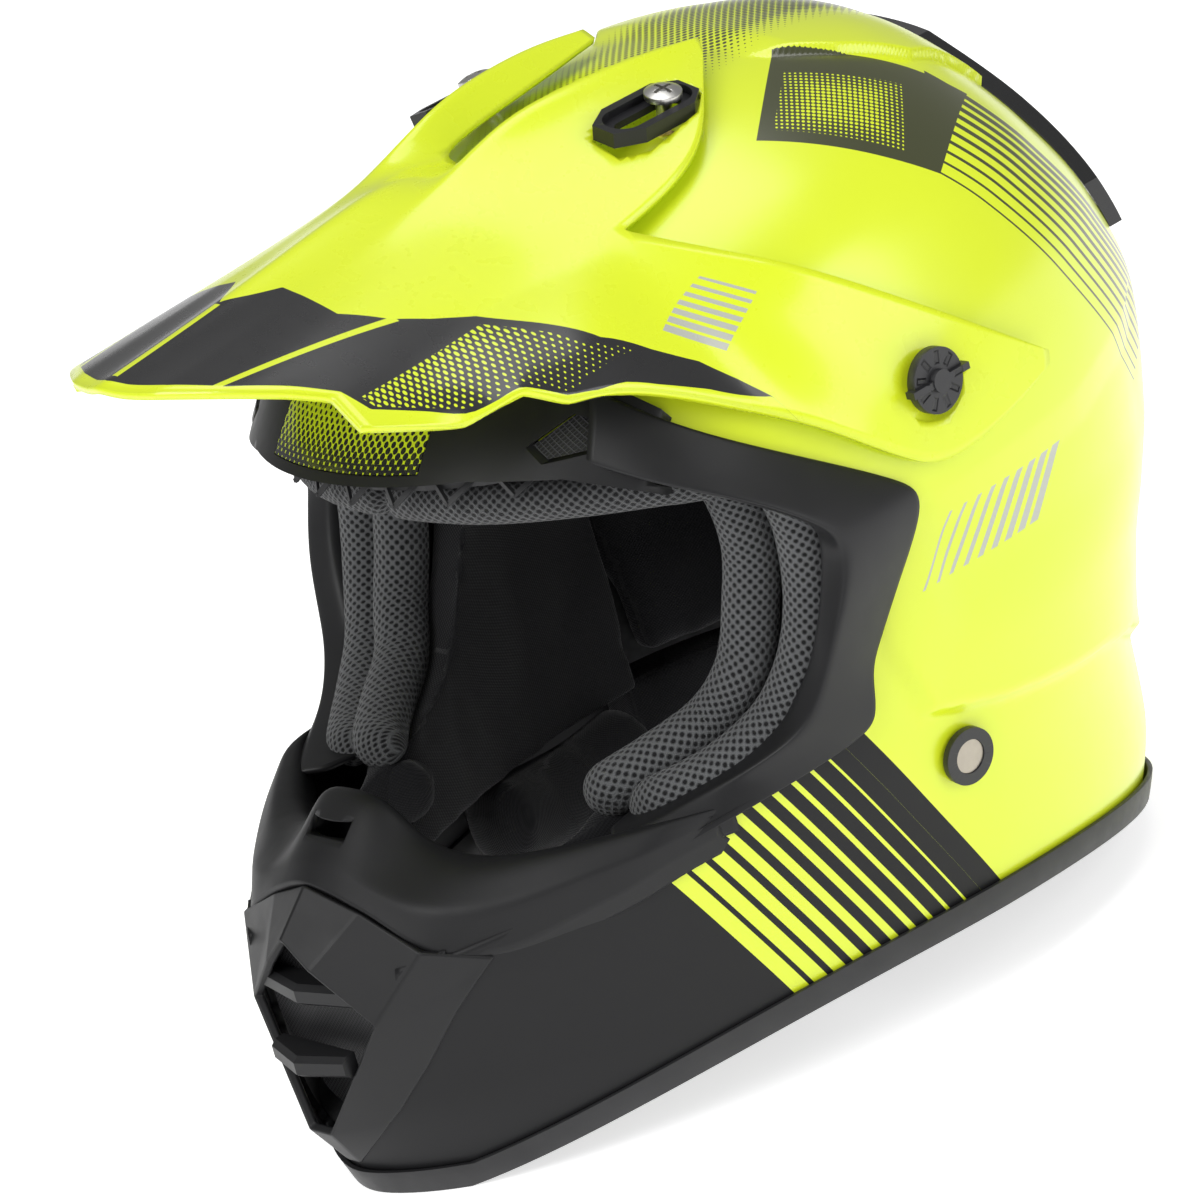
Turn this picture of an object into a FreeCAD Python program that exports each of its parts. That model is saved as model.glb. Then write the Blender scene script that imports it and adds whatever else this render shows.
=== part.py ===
import FreeCAD, Part
import math
import os
from FreeCAD import Vector

# A motocross helmet that stands on its rim. Millimetres. +Z is up, the face looks along -Y and the
# wearer's left is +X. The origin is on the ground, under the centre of the helmet.

# ---- driving dimensions -------------------------------------------------------------------------
SHELL_RISE = 282.6          # from the reference level of the shell's sections up to the crown
BASE_LEVEL = 6.0            # height of that reference level
RIM_ARCH = 27.0             # how far the rim rises beside the neck
RIM_MIDDLE_Y = -7.5
RIM_HALF_RUN = 148.0        # the rim lies flat on the ground beyond this distance from its middle
RIM_POWER = 2.2
SHELL_WALL = 3.5
LINER_OUT, LINER_IN = 4.0, 27.0         # crown liner, depths below the shell's outer face
PAD_OUT, PAD_IN = 27.5, 39.0            # comfort padding over the crown liner
TRIM_HEIGHT = 9.0
SKIN_GAP = 0.3              # between pieces laid on each other
SURROUND_PROUD = 3.0
PORT_LIP = 2.6              # wall of the lip that lines the eyeport
PORT_LIP_DEPTH = 21.0
GUARD_JOINT_Y = -97.3       # where the eyeport moulding meets the nose guard
VISOR_WALL = 2.4
TILT_MAX = 6.0              # degrees the visor tilts up from rest
TILT_GAP = 0.5              # room left between the visor and the shell at every tilt
PIVOT_Y, PIVOT_Z = 21.5, 201.0          # axis the visor tilts about, along X
SCREW_X, SCREW_Y = 44.0, 15.0           # top screws
SCREW_LEAN = 15.0                       # degrees outwards from upright
SNAP_Y, SNAP_Z = 5.0, 82.5              # snap rings on the sides
STRAP_Y, STRAP_Z = -14.0, 43.0          # chin strap rivets
STRAP_WIDTH = 25.0
STRAP_THICK = 2.2

# Sections of the shell: height (share of a quarter turn), half width, front, rear, y of the widest
# place, and how square the front and rear halves are (2 is an ellipse).
SECTIONS = [
    (0.00, 105.0, -170.5, 143.5, 15.5, 1.66, 2.10),
    (0.07, 112.0, -180.5, 152.5, 17.5, 1.66, 2.10),
    (0.14, 115.5, -181.5, 151.5, 20.5, 1.68, 2.10),
    (0.21, 119.0, -175.5, 159.5, 25.0, 1.72, 2.10),
    (0.30, 121.5, -159.5, 178.5, 32.5, 1.80, 2.10),
    (0.40, 121.5, -138.5, 184.5, 41.5, 1.95, 2.10),
    (0.50, 118.0, -115.5, 173.5, 48.0, 2.05, 2.10),
    (0.60, 108.0, -88.5, 155.5, 50.5, 2.10, 2.10),
    (0.70, 89.5, -57.0, 137.5, 54.5, 2.10, 2.10),
    (0.80, 65.5, -21.5, 122.5, 60.5, 2.05, 2.05),
    (0.90, 36.0, 17.5, 101.0, 65.5, 2.00, 2.00),
    (1.00, 0.0, 64.5, 64.5, 64.5, 2.00, 2.00),
]
LEVELS = [-0.06, 0.0, 0.07, 0.14, 0.21, 0.30, 0.40, 0.50, 0.60, 0.70, 0.80, 0.88, 0.94, 0.98]
SECTION_POINTS = 36

# Side views (y, z) that are cut straight through along X.
EYEPORT = [(-240, 213), (-101, 214), (-84, 210), (-57, 194), (-35, 180.5), (-22, 167), (-21.5, 160),
           (-36, 134), (-46, 118), (-57, 111.5), (-96, 100), (-140, 90), (-240, 70)]
SURROUND = [(-240, 262), (-90, 250), (-60, 229), (-44, 207), (2, 175), (12, 168), (-17, 134),
            (-24, 126), (-25, 108), (-32, 106), (-99, 93), (-146, 79), (-240, 52)]
BROW_PANEL = [(-240, 252), (-66, 252), (-62, 233), (-90, 210), (-240, 210)]
BROW_PANEL_HALF = 33.6
CROWN_LINER = [(-240, 112), (-62, 112), (-62, 98), (44, 98), (44, 66), (240, 66), (240, 330), (-240, 330)]
CHEEK_PAD = [(-110, 62), (38, 62), (42, 100), (40, 160), (8, 190), (-52, 192), (-110, 192)]
CHEEK_PAD_INNER_X = 46.0    # the pads stop this far from the middle, clear of the face
STUDS = [(-40, 78), (20, 78), (24, 122)]        # cheek pad snap studs
CROWN_PAD = [(-66, 330), (-66, 206), (11, 200), (43, 162), (45, 100), (46, 66), (240, 66), (240, 330)]
FOREHEAD_BAND = [(-240, 330), (-240, 190), (-56, 193), (-67, 206), (-67, 236)]
# Front view (x, z) of the mouth hole and of the rear spoiler.
MOUTH_HOLE = [(0, 20), (12, 28), (26, 50), (33, 78), (34, 125), (0, 125)]
SPOILER = [(0, 268), (34, 264), (52, 240), (68, 206), (71, 190), (60, 186), (40, 196), (0, 204)]
SPOILER_PROUD = 4.5

SCREW_HEAD_Z = 292.8        # middle of the top screws' heads
SCREW_HEAD = (5.9, 3.0)     # radius and height
SCREW_SHANK = 2.5
SHELL_ALONG_SCREW = 13.7    # from the head's top down to the shell's outer face
SLOT = (3.1, -17.0, 3.2)    # half width, front and rear ends of its straight part
BEZEL_TOP, BEZEL_THICK = 3.4, 5.0       # measured down the screw's axis
KNOB_RADIUS = 10.2
KNOB_SWEEP = 12.2           # half length of the knob's blade
SHOULDER_RADIUS = 4.0
RUNNING_CLEARANCE = 0.05
SNAP_AXIS = (0.99, -0.10, -0.10)        # square to the shell at the snap ring
INSERT_RADIUS = 4.4          # threaded inserts in the shell
SNAP_BARREL = 4.9            # barrel of a snap ring through the shell


# ---- shared geometry ----------------------------------------------------------------------------
def slopes(xs, ys):
    """Slopes that keep a curve through the points free of overshoot."""
    steps = [(ys[i + 1] - ys[i]) / (xs[i + 1] - xs[i]) for i in range(len(xs) - 1)]
    out = [steps[0]]
    for a, b in zip(steps, steps[1:]):
        out.append(2 * a * b / (a + b) if a * b > 0 else 0.0)
    return out + [steps[-1]]


TS = [row[0] for row in SECTIONS]
COLUMNS = [[row[k] for row in SECTIONS] for k in range(1, 7)]
SLOPES = [slopes(TS, column) for column in COLUMNS]


def section_at(t):
    """Half width, front, rear, widest y and the two powers at height share t."""
    t = min(max(t, TS[0]), TS[-1])
    i = min(sum(1 for v in TS[1:-1] if v <= t), len(TS) - 2)
    h = TS[i + 1] - TS[i]
    s = (t - TS[i]) / h
    a, b = (1 + 2 * s) * (1 - s) ** 2, s * (1 - s) ** 2
    c, d = s * s * (3 - 2 * s), s * s * (s - 1)
    return [a * y[i] + b * h * m[i] + c * y[i + 1] + d * h * m[i + 1] for y, m in zip(COLUMNS, SLOPES)]


def height_at(t, inset=0.0):
    if t < 0:
        return BASE_LEVEL + SHELL_RISE * t * math.pi / 2
    return BASE_LEVEL + (SHELL_RISE - inset) * math.sin(t * math.pi / 2)


def share_at(z):
    """Height share of the outer face at height z."""
    return math.asin(min(1.0, max(0.0, (z - BASE_LEVEL) / SHELL_RISE))) * 2 / math.pi


def signed_power(value, power):
    return math.copysign(abs(value) ** power, value)


def ring_point(t, angle, inset=0.0):
    """A point of the helmet's surface, set in by a depth; angle 0 is the left side, 90 the rear."""
    width, front, rear, middle, front_power, rear_power = section_at(t)
    c, s = math.cos(angle), math.sin(angle)
    power = rear_power if s > 0 else front_power
    reach = (rear - inset - middle) if s > 0 else (middle - front - inset)
    width = max(width - inset, 0.2)
    reach = max(reach, 0.2)
    return Vector(width * signed_power(c, 2 / power), middle + reach * signed_power(s, 2 / power),
                  height_at(t, inset))


def side_x(y, z, inset=0.0):
    """x of the helmet's left side at a given y and z."""
    width, front, rear, middle, front_power, rear_power = section_at(share_at(z))
    power = rear_power if y > middle else front_power
    reach = (rear - inset - middle) if y > middle else (middle - front - inset)
    return (width - inset) * (1 - min(1.0, abs(y - middle) / reach) ** power) ** (1 / power)


BODIES = {}


def body(inset):
    """The whole helmet's volume, set in by a depth all round; open work is cut from it later."""
    if inset not in BODIES:
        wires = []
        for t in LEVELS:
            if section_at(t)[0] - inset < 3.0:
                break
            angles = [2 * math.pi * k / SECTION_POINTS for k in range(SECTION_POINTS)]
            curve = Part.BSplineCurve()
            curve.interpolate([ring_point(t, a, inset) for a in angles], PeriodicFlag=True)
            wires.append(Part.Wire(curve.toShape()))
        BODIES[inset] = Part.makeLoft(wires, True, False)
    return BODIES[inset]


def prism_x(outline, x0=-200.0, x1=200.0):
    """A side view (y, z) carried straight across from x0 to x1."""
    points = [Vector(x0, y, z) for y, z in outline]
    face = Part.Face(Part.makePolygon(points + [points[0]]))
    return face.extrude(Vector(x1 - x0, 0, 0))


def prism_y(outline, y0, y1):
    """A front view (x, z) carried from y0 to y1."""
    points = [Vector(x, y0, z) for x, z in outline]
    face = Part.Face(Part.makePolygon(points + [points[0]]))
    return face.extrude(Vector(0, y1 - y0, 0))


def grown(outline, distance):
    """A closed outline moved outwards by a distance, corners kept sharp."""
    area = sum(a[0] * b[1] - b[0] * a[1] for a, b in zip(outline, outline[1:] + outline[:1]))
    sign = 1.0 if area > 0 else -1.0
    out = []
    for k, (y, z) in enumerate(outline):
        before, after = outline[k - 1], outline[(k + 1) % len(outline)]
        normals = []
        for (ay, az), (by, bz) in ((before, (y, z)), ((y, z), after)):
            length = math.hypot(by - ay, bz - az)
            normals.append(((bz - az) / length * sign, -(by - ay) / length * sign))
        ny, nz = normals[0][0] + normals[1][0], normals[0][1] + normals[1][1]
        scale = 2 * distance / (ny * ny + nz * nz)
        out.append((y + ny * scale, z + nz * scale))
    return out


def rim_height(y, lift=0.0):
    u = min(1.0, abs((y - RIM_MIDDLE_Y) / RIM_HALF_RUN))
    return lift + RIM_ARCH * (1 - u ** RIM_POWER)


def below_rim(lift):
    """Everything lower than the arched rim, raised by lift."""
    ys = [RIM_MIDDLE_Y + RIM_HALF_RUN * k / 10 for k in range(-10, 11)]
    arch = [Vector(-200, y, rim_height(y, lift)) for y in ys]
    ends = [Vector(-200, y, z) for y, z in ((260, lift), (260, -60), (-260, -60), (-260, lift))]
    curve = Part.BSplineCurve()
    curve.interpolate(arch)
    edges = [curve.toShape(), Part.makeLine(arch[-1], ends[0]), Part.makeLine(ends[0], ends[1]),
             Part.makeLine(ends[1], ends[2]), Part.makeLine(ends[2], ends[3]), Part.makeLine(ends[3], arch[0])]
    return Part.Face(Part.Wire(edges)).extrude(Vector(400, 0, 0))


def mirrored(shape):
    return shape.mirror(Vector(0, 0, 0), Vector(1, 0, 0))


def cylinder(radius, start, end):
    start, end = Vector(*start), Vector(*end)
    return Part.makeCylinder(radius, (end - start).Length, start, end - start)


def block(x0, x1, y0, y1, z0, z1):
    return Part.makeBox(x1 - x0, y1 - y0, z1 - z0, Vector(x0, y0, z0))


def biggest(shape):
    """The largest solid of a cut, so that loose slivers are dropped."""
    return max(shape.Solids, key=lambda s: s.Volume)


def skin_from_grid(rows, wall):
    """A plate over a grid of points. The grid is the outer face; wall is measured inwards."""
    count, width = len(rows), len(rows[0])

    def normal(i, j):
        along = rows[min(i + 1, count - 1)][j] - rows[max(i - 1, 0)][j]
        across = rows[i][min(j + 1, width - 1)] - rows[i][max(j - 1, 0)]
        n = along.cross(across)
        n.normalize()
        return n if n.z > -0.05 else n * -1

    inner = [[rows[i][j] - normal(i, j) * wall for j in range(width)] for i in range(count)]
    faces = []

    def quad(a, b, c, d):
        for triple in ((a, b, c), (a, c, d)):
            faces.append(Part.Face(Part.makePolygon(list(triple) + [triple[0]])))

    for i in range(count - 1):
        for j in range(width - 1):
            for grid in (rows, inner):
                quad(grid[i][j], grid[i][j + 1], grid[i + 1][j + 1], grid[i + 1][j])
    for i in range(count - 1):
        for j in (0, width - 1):
            quad(rows[i][j], rows[i + 1][j], inner[i + 1][j], inner[i][j])
    for j in range(width - 1):
        for i in (0, count - 1):
            quad(rows[i][j], rows[i][j + 1], inner[i][j + 1], inner[i][j])
    solid = Part.makeSolid(Part.makeShell(faces))
    if solid.Volume < 0:
        solid.reverse()
    return solid


def mirror_row(row):
    """A row given from the centre line outwards, completed on the other side."""
    left = [Vector(*p) for p in row]
    return [Vector(-p.x, p.y, p.z) for p in reversed(left[1:])] + left


PARTS = {}


def keep(name, shape):
    PARTS[name] = shape


# ---- shell and mouldings ------------------------------------------------------------------------
def outer_shell():
    """Painted shell: one wall with the eyeport, mouth hole, pivot holes and insert holes cut in it."""
    shell = body(0).cut(body(SHELL_WALL)).cut(below_rim(1.5))
    shell = shell.cut(prism_x(grown(EYEPORT, PORT_LIP + SKIN_GAP)))
    shell = shell.cut(prism_y(both_sides(MOUTH_HOLE), -210, -130))
    for side in (1, -1):
        shell = shell.cut(pivot_cylinder(side, INSERT_RADIUS + SKIN_GAP / 3, 90, 130))
        shell = shell.cut(snap_cylinder(side, SNAP_BARREL + SKIN_GAP / 3, -12, 12))
        shell = shell.cut(screw_axis_cylinder(side, INSERT_RADIUS + SKIN_GAP / 3, -40, 0))
    return biggest(shell)




def both_sides(half):
    """A half outline from the centre line, completed by its mirror image."""
    return half + [(-a, b) for a, b in reversed(half) if a != 0]


def pivot_cylinder(side, radius, x0, x1):
    return cylinder(radius, (side * x0, PIVOT_Y, PIVOT_Z), (side * x1, PIVOT_Y, PIVOT_Z))


def snap_cylinder(side, radius, low, high):
    """A cylinder on the snap ring's axis, between two distances from the shell's face."""
    foot = Vector(side * side_x(SNAP_Y, SNAP_Z), SNAP_Y, SNAP_Z)
    axis = Vector(side * SNAP_AXIS[0], SNAP_AXIS[1], SNAP_AXIS[2])
    return Part.makeCylinder(radius, high - low, foot + axis * low, axis)


def screw_frame(side):
    """Top of a top screw's head, and its axis."""
    lean = math.radians(SCREW_LEAN)
    axis = Vector(side * math.sin(lean), 0, math.cos(lean))
    return Vector(side * SCREW_X, SCREW_Y, SCREW_HEAD_Z), axis


def screw_axis_cylinder(side, radius, low, high):
    """A cylinder on a top screw's axis, between two distances from the top of its head."""
    top, axis = screw_frame(side)
    return Part.makeCylinder(radius, high - low, top + axis * low, axis)


def eyeport_surround():
    """Black moulding round the eyeport: a skin on the shell and a lip that lines the opening."""
    skin = body(-SURROUND_PROUD).cut(body(-SKIN_GAP)).common(prism_x(SURROUND))
    edge = BROW_PANEL_HALF + SKIN_GAP
    skin = skin.cut(prism_x(grown(BROW_PANEL, SKIN_GAP), -edge, edge))
    lip = body(-SURROUND_PROUD).cut(body(PORT_LIP_DEPTH)).common(prism_x(grown(EYEPORT, PORT_LIP)))
    shape = skin.fuse(lip).cut(prism_x(EYEPORT))
    shape = shape.cut(block(-150, 150, -240, GUARD_JOINT_Y + SKIN_GAP, 40, 130))
    for side in (1, -1):
        shape = shape.cut(brow_vent_hole(side, 0))
    return biggest(shape)


def brow_vent_hole(side, grow):
    """Five-cornered hole of a brow vent, seen from the front."""
    outline = [(63 + grow, 220 - grow), (72, 226 - grow), (84 - grow, 220 - grow), (86 - grow, 215 + grow),
               (68, 215 + grow)]
    outline = [(side * x, z) for x, z in outline]
    return prism_y(outline, -140, -40)


def brow_vent_mesh():
    """Mesh pads set in the two brow vents."""
    sheet = body(-1.6).cut(body(-SKIN_GAP))
    pads = [biggest(sheet.common(brow_vent_hole(side, 0.4))) for side in (1, -1)]
    return Part.makeCompound(pads)


def brow_panel():
    """Painted centre panel between the halves of the surround, under the visor."""
    panel = body(-SURROUND_PROUD).cut(body(-SKIN_GAP))
    panel = panel.common(prism_x(BROW_PANEL, -BROW_PANEL_HALF, BROW_PANEL_HALF))
    return biggest(panel.cut(prism_x(grown(EYEPORT, PORT_LIP + SKIN_GAP))))


def brow_gasket():
    """Rubber strip with pointed teeth under the brow, inside the eyeport's lip."""
    band = body(5.0).cut(body(8.0)).common(prism_x([(-240, 206), (-240, 212), (-101, 212.6), (-84, 208.6),
                                                      (-57, 192.6), (-59, 188), (-86, 203), (-101, 206)]))
    for k in range(-4, 5):
        x = 17.0 * k
        low = 203.0 if abs(k) < 3 else 190.0
        tooth = [(x - 5, low - 12), (x + 5, low - 12), (x, low + 6.0)]
        band = band.cut(prism_y(tooth, -140, -40))
    return biggest(band)


def nose_guard():
    """Lower eyeport moulding: saddle over the chin bar with a slot vent and a groove."""
    half = [  # x, then (y, z) of the seam, the groove, the crest's front, the crest's back and the inner foot
        (0, (-162.5, 103.5), (-158, 109), (-140, 122.5), (-131, 122.5), (-130, 92)),
        (12, (-161.5, 100), (-157, 106), (-139, 121.5), (-131, 122), (-130, 92)),
        (20, (-160, 96.5), (-156, 102), (-138, 111), (-131, 112), (-130, 91)),
        (30, (-158.5, 91.5), (-154, 97), (-139, 104.5), (-128, 104), (-127, 91)),
        (43, (-157.2, 85.5), (-151, 94.5), (-137, 102), (-123, 101), (-121, 90)),
        (58, (-142.8, 79), (-139, 92), (-128, 102), (-114, 101), (-112, 90)),
        (74, (-121.8, 86), (-121, 95), (-113, 103), (-99.5, 102), (-98, 90)),
        (90, (-98.6, 92), (-98.6, 97.5), (-98.4, 102.2), (-86, 103), (-85, 92)),
    ]
    # Each station is a flat section; the solid runs through them and closes on the inner foot.
    wires = []
    stations = [(-x, pts) for x, *pts in reversed(half[1:])] + [(x, pts) for x, *pts in half]
    for x, pts in stations:
        ring = [Vector(x, y, z) for y, z in pts]
        wires.append(Part.makePolygon(ring + [ring[0]]))
    solid = Part.makeLoft(wires, True, True)
    wall = body(-SKIN_GAP).cut(body(SHELL_WALL + SKIN_GAP)).cut(prism_x(grown(EYEPORT, PORT_LIP)))
    wall = wall.cut(prism_y(both_sides(MOUTH_HOLE), -210, -130))
    solid = solid.cut(wall).cut(block(-150, 150, GUARD_JOINT_Y, 0, 40, 130))
    return biggest(solid.cut(block(-9, 9, -170, -120, 112.3, 116.9)))


def mouth_vent_cover():
    """Faceted cover over the front of the chin, open in the middle."""
    top, crest = (0, -163, 102.6), (0, -177.3, 90.9)
    left = {
        "q": (20, -160.5, 95.4), "b": (42.6, -158.3, 84.3), "c": (57.5, -142.6, 78),
        "p": (10, -177.5, 82), "e": (29, -172.7, 64), "f": (5, -183, 27.5),
        "s1": (36.9, -163, 49), "s2": (18.6, -173.5, 26), "s3": (3.0, -176.5, 11.5),
    }
    names = ["t q p", "t p d", "q b e", "q e p", "b c e", "c s1 e", "s1 s2 e", "s2 f e", "s2 s3 f"]
    outer = []
    for side in (1, -1):
        at = {key: Vector(side * x, y, z) for key, (x, y, z) in left.items()}
        at["t"], at["d"] = Vector(*top), Vector(*crest)
        outer += [[at[key] for key in row.split()] for row in names]
    foot = {side: Vector(side * 3.0, -176.5, 11.5) for side in (1, -1)}
    chin = {side: Vector(side * 5.0, -183, 27.5) for side in (1, -1)}
    outer += [[foot[1], foot[-1], chin[1]], [foot[-1], chin[-1], chin[1]]]
    cover = skin_from_triangles(outer, Vector(0, 3.6, -0.3))
    return biggest(cover.cut(mouth_wall()))


def mouth_wall():
    """The shell's wall round the mouth hole, with the gap that laid-on pieces keep."""
    wall = body(-SKIN_GAP).cut(body(SHELL_WALL + SKIN_GAP)).common(block(-70, 70, -200, -110, 0, 100))
    return wall.cut(prism_y(both_sides(MOUTH_HOLE), -210, -100))


def skin_from_triangles(triangles, shift):
    """A closed plate over a faceted sheet; the inner face is the sheet moved by shift."""
    faces, edges = [], {}
    for corners in triangles:
        for pts in (corners, [p + shift for p in corners]):
            faces.append(Part.Face(Part.makePolygon(pts + [pts[0]])))
        for a, b in zip(corners, corners[1:] + corners[:1]):
            key = frozenset((tuple(a), tuple(b)))
            edges.setdefault(key, []).append((a, b))
    for pairs in edges.values():
        if len(pairs) == 1:
            a, b = pairs[0]
            faces.append(Part.Face(Part.makePolygon([a, b, b + shift, a + shift, a])))
    solid = Part.makeSolid(Part.makeShell(faces))
    solid.fix(1e-6, 1e-6, 1e-6)
    return solid


def mouth_vent_bars():
    """Two bars with a pointed middle that cross the mouth vent."""
    bars = []
    for z, middle_y, end_y, back_y, half in ((71.5, -177.5, -172, -168, 25), (50.5, -185, -179.5, -174, 17)):
        wires = []
        for x, y in ((-half, end_y), (0, middle_y), (half, end_y)):
            pts = [(y, z - 2), (y, z + 2), (y + 2, z + 3.6), (back_y, z + 3.6),
                   (back_y, z - 3.6), (y + 2, z - 3.6)]
            ring = [Vector(x, a, b) for a, b in pts]
            wires.append(Part.makePolygon(ring + [ring[0]]))
        bars.append(biggest(Part.makeLoft(wires, True, True).cut(PARTS["mouth_vent_cover"])))
    return Part.makeCompound(bars)


def mouth_vent_mesh():
    """Mesh sheet behind the bars, inside the mouth hole."""
    outline = both_sides([(0, 24), (12, 32), (23, 50), (28, 66), (26, 78), (0, 88)])
    sheet = prism_y(outline, -167.2, -166.0)
    return biggest(sheet.common(body(SHELL_WALL + 1.0)).cut(PARTS["mouth_vent_cover"]))


def edge_trim():
    """Rubber band over the shell's lower edge."""
    ring = body(-2.0).cut(body(5.5)).cut(below_rim(0)).common(below_rim(TRIM_HEIGHT))
    groove = body(-SKIN_GAP).cut(body(SHELL_WALL + SKIN_GAP)).cut(below_rim(1.2))
    return biggest(ring.cut(groove))


def rear_spoiler():
    """Raised outlet hood over the rear of the crown, open at its lower edge."""
    hood = body(-SPOILER_PROUD).cut(body(-SKIN_GAP)).common(prism_y(both_sides(SPOILER), 60, 230))
    duct = body(-SPOILER_PROUD + 2.2).cut(body(-SKIN_GAP))
    duct = duct.common(prism_y([(-30, 180), (30, 180), (22, 246), (-22, 246)], 60, 230))
    return biggest(hood.cut(duct))


def rear_vent_mesh():
    """Mesh strip inside the spoiler's outlet."""
    strip = body(-SPOILER_PROUD + 2.5).cut(body(-SKIN_GAP - 0.3))
    return biggest(strip.common(prism_y([(-26, 211), (26, 211), (25.5, 213), (-25.5, 213)], 60, 230)))


# ---- liners and padding -------------------------------------------------------------------------
def eps_crown_liner():
    """Energy-absorbing foam under the shell, with pockets for the inserts."""
    liner = body(LINER_OUT).cut(body(LINER_IN)).common(prism_x(CROWN_LINER))
    liner = liner.cut(prism_x(grown(EYEPORT, PORT_LIP + 0.6)))
    for side in (1, -1):
        liner = liner.cut(pivot_cylinder(side, 9.0, 100, 130))
        liner = liner.cut(screw_axis_cylinder(side, 9.0, -34, 0))
        liner = liner.cut(side_of(stud(*STUDS[2], 4.4, 8), side))
    return biggest(liner)


def eps_chin_liner():
    """Foam inside the chin bar, with the breathing hole."""
    liner = body(LINER_OUT).cut(body(24.0)).common(block(-130, 130, -200, -64, 0, 77))
    liner = liner.cut(below_rim(TRIM_HEIGHT + 0.5))
    return biggest(liner.cut(block(-36, 36, -200, -130, 24, 90)))


def cheek_block(side):
    """Foam block between the shell and the lower half of a cheek pad."""
    shape = body(5.0).cut(body(LINER_IN)).common(prism_x([(-62, 62), (43, 62), (43, 97), (-62, 97)], 0, 200))
    shape = shape.cut(prism_x(grown(EYEPORT, PORT_LIP + 0.6)))
    shape = shape.cut(snap_cylinder(1, 6.5, -9, 0))
    for y, z in STUDS[:2]:
        shape = shape.cut(stud(y, z, 4.4, 8))
    return side_of(biggest(shape), side)


def side_of(shape, side):
    return shape if side > 0 else mirrored(shape)


def stud(y, z, radius, reach):
    x = side_x(y, z, LINER_IN)
    return cylinder(radius, (x - reach, y, z), (x + reach, y, z))


def cheek_plate(side):
    """Backing plate sewn to the back of a cheek pad."""
    plate = body(LINER_IN + 0.3).cut(body(LINER_IN + 1.6))
    outline = [(-50, 68), (34, 68), (38, 100), (34, 150), (16, 150), (-10, 110), (-50, 92)]
    plate = plate.common(prism_x(outline, 0, 200))
    for y, z in STUDS:
        plate = plate.cut(stud(y, z, 4.2, 8))
    return side_of(biggest(plate), side)


def cheek_pad(side):
    """Soft cheek pad."""
    pad = body(LINER_IN + 1.9).cut(body(50.0)).common(prism_x(CHEEK_PAD, CHEEK_PAD_INNER_X, 200))
    pad = pad.cut(prism_x(grown(EYEPORT, 1.0)))
    for y, z in STUDS:
        pad = pad.cut(stud(y, z, 4.4, 8))
    return side_of(biggest(pad), side)


def cheek_snap_studs():
    """Press studs that hold the cheek pads to their foam, three a side."""
    studs = [stud(y, z, 4.0, 3.0) for y, z in STUDS]
    return Part.makeCompound(studs + [mirrored(s) for s in studs])


def crown_pad():
    """Soft liner under the crown and down the back of the head."""
    pad = body(PAD_OUT).cut(body(PAD_IN)).common(prism_x(CROWN_PAD))
    return biggest(pad.cut(prism_x(grown(EYEPORT, 1.0))))


def forehead_band():
    """Soft band that shows under the brow."""
    band = body(PAD_OUT).cut(body(PAD_IN - 1.0)).common(prism_x(FOREHEAD_BAND))
    return biggest(band.cut(prism_x(EYEPORT)))


def neck_roll():
    """Padded roll round the back of the neck opening."""
    roll = body(6.5).cut(body(26.0)).common(block(-130, 130, 44, 200, 10, 62))
    return biggest(roll.cut(below_rim(TRIM_HEIGHT + 1.5)))


# ---- visor --------------------------------------------------------------------------------------
def on_side(y, z, proud):
    return (side_x(y, z) + proud, y, z)


VISOR_TOP = [  # stations from the front lip to the rear tips; each runs outwards from the centre line
    [(0, -183, 275.5), (8, -181.5, 273.5), (20, -177.5, 273),
     (35, -168, 270.5), (48, -155, 266), (57, -144.5, 261)],
    [(0, -133.5, 281), (7.5, -131.5, 278.5), (20, -130, 277), (35, -126, 273.5), (48, -121, 268), (57.3, -116.5, 261)],
    [(0, -100, 286), (7, -99, 283.5), (20, -98, 280), (35, -96, 275.5), (48, -94, 268.5), (57.5, -92.5, 261.4)],
    [(0, -62, 290.5), (9, -61, 288.5), (17, -60, 286), (33, -57, 279), (48, -53, 271), (61, -47, 264)],
    [(0, -33, 284), (10, -33, 286), (17, -31, 297), (27, -31, 287), (45, -30, 277.5), (63, -30, 266)],
    [(0, -12, 285.5), (12, -12, 289), (20.5, -12, 300), (31, -11, 288), (46, -9, 281.5), (64.5, -8, 271)],
    [(0, 12, 289), (14, 12, 291), (23.5, 12, 300), (35, 12, 289), (46, 12, 284.5), (62, 10, 278.4)],
    [(0, 30, 290), (18, 30, 291), (25.5, 30, 297.5), (34, 30, 291), (40, 29, 289), (48, 27, 286)],
    [(0, 48, 291), (22, 48, 291.5), (26.5, 48, 294.3), (28, 47, 293.5), (30, 45.5, 292.5), (32.5, 43.5, 291.5)],
]
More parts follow.
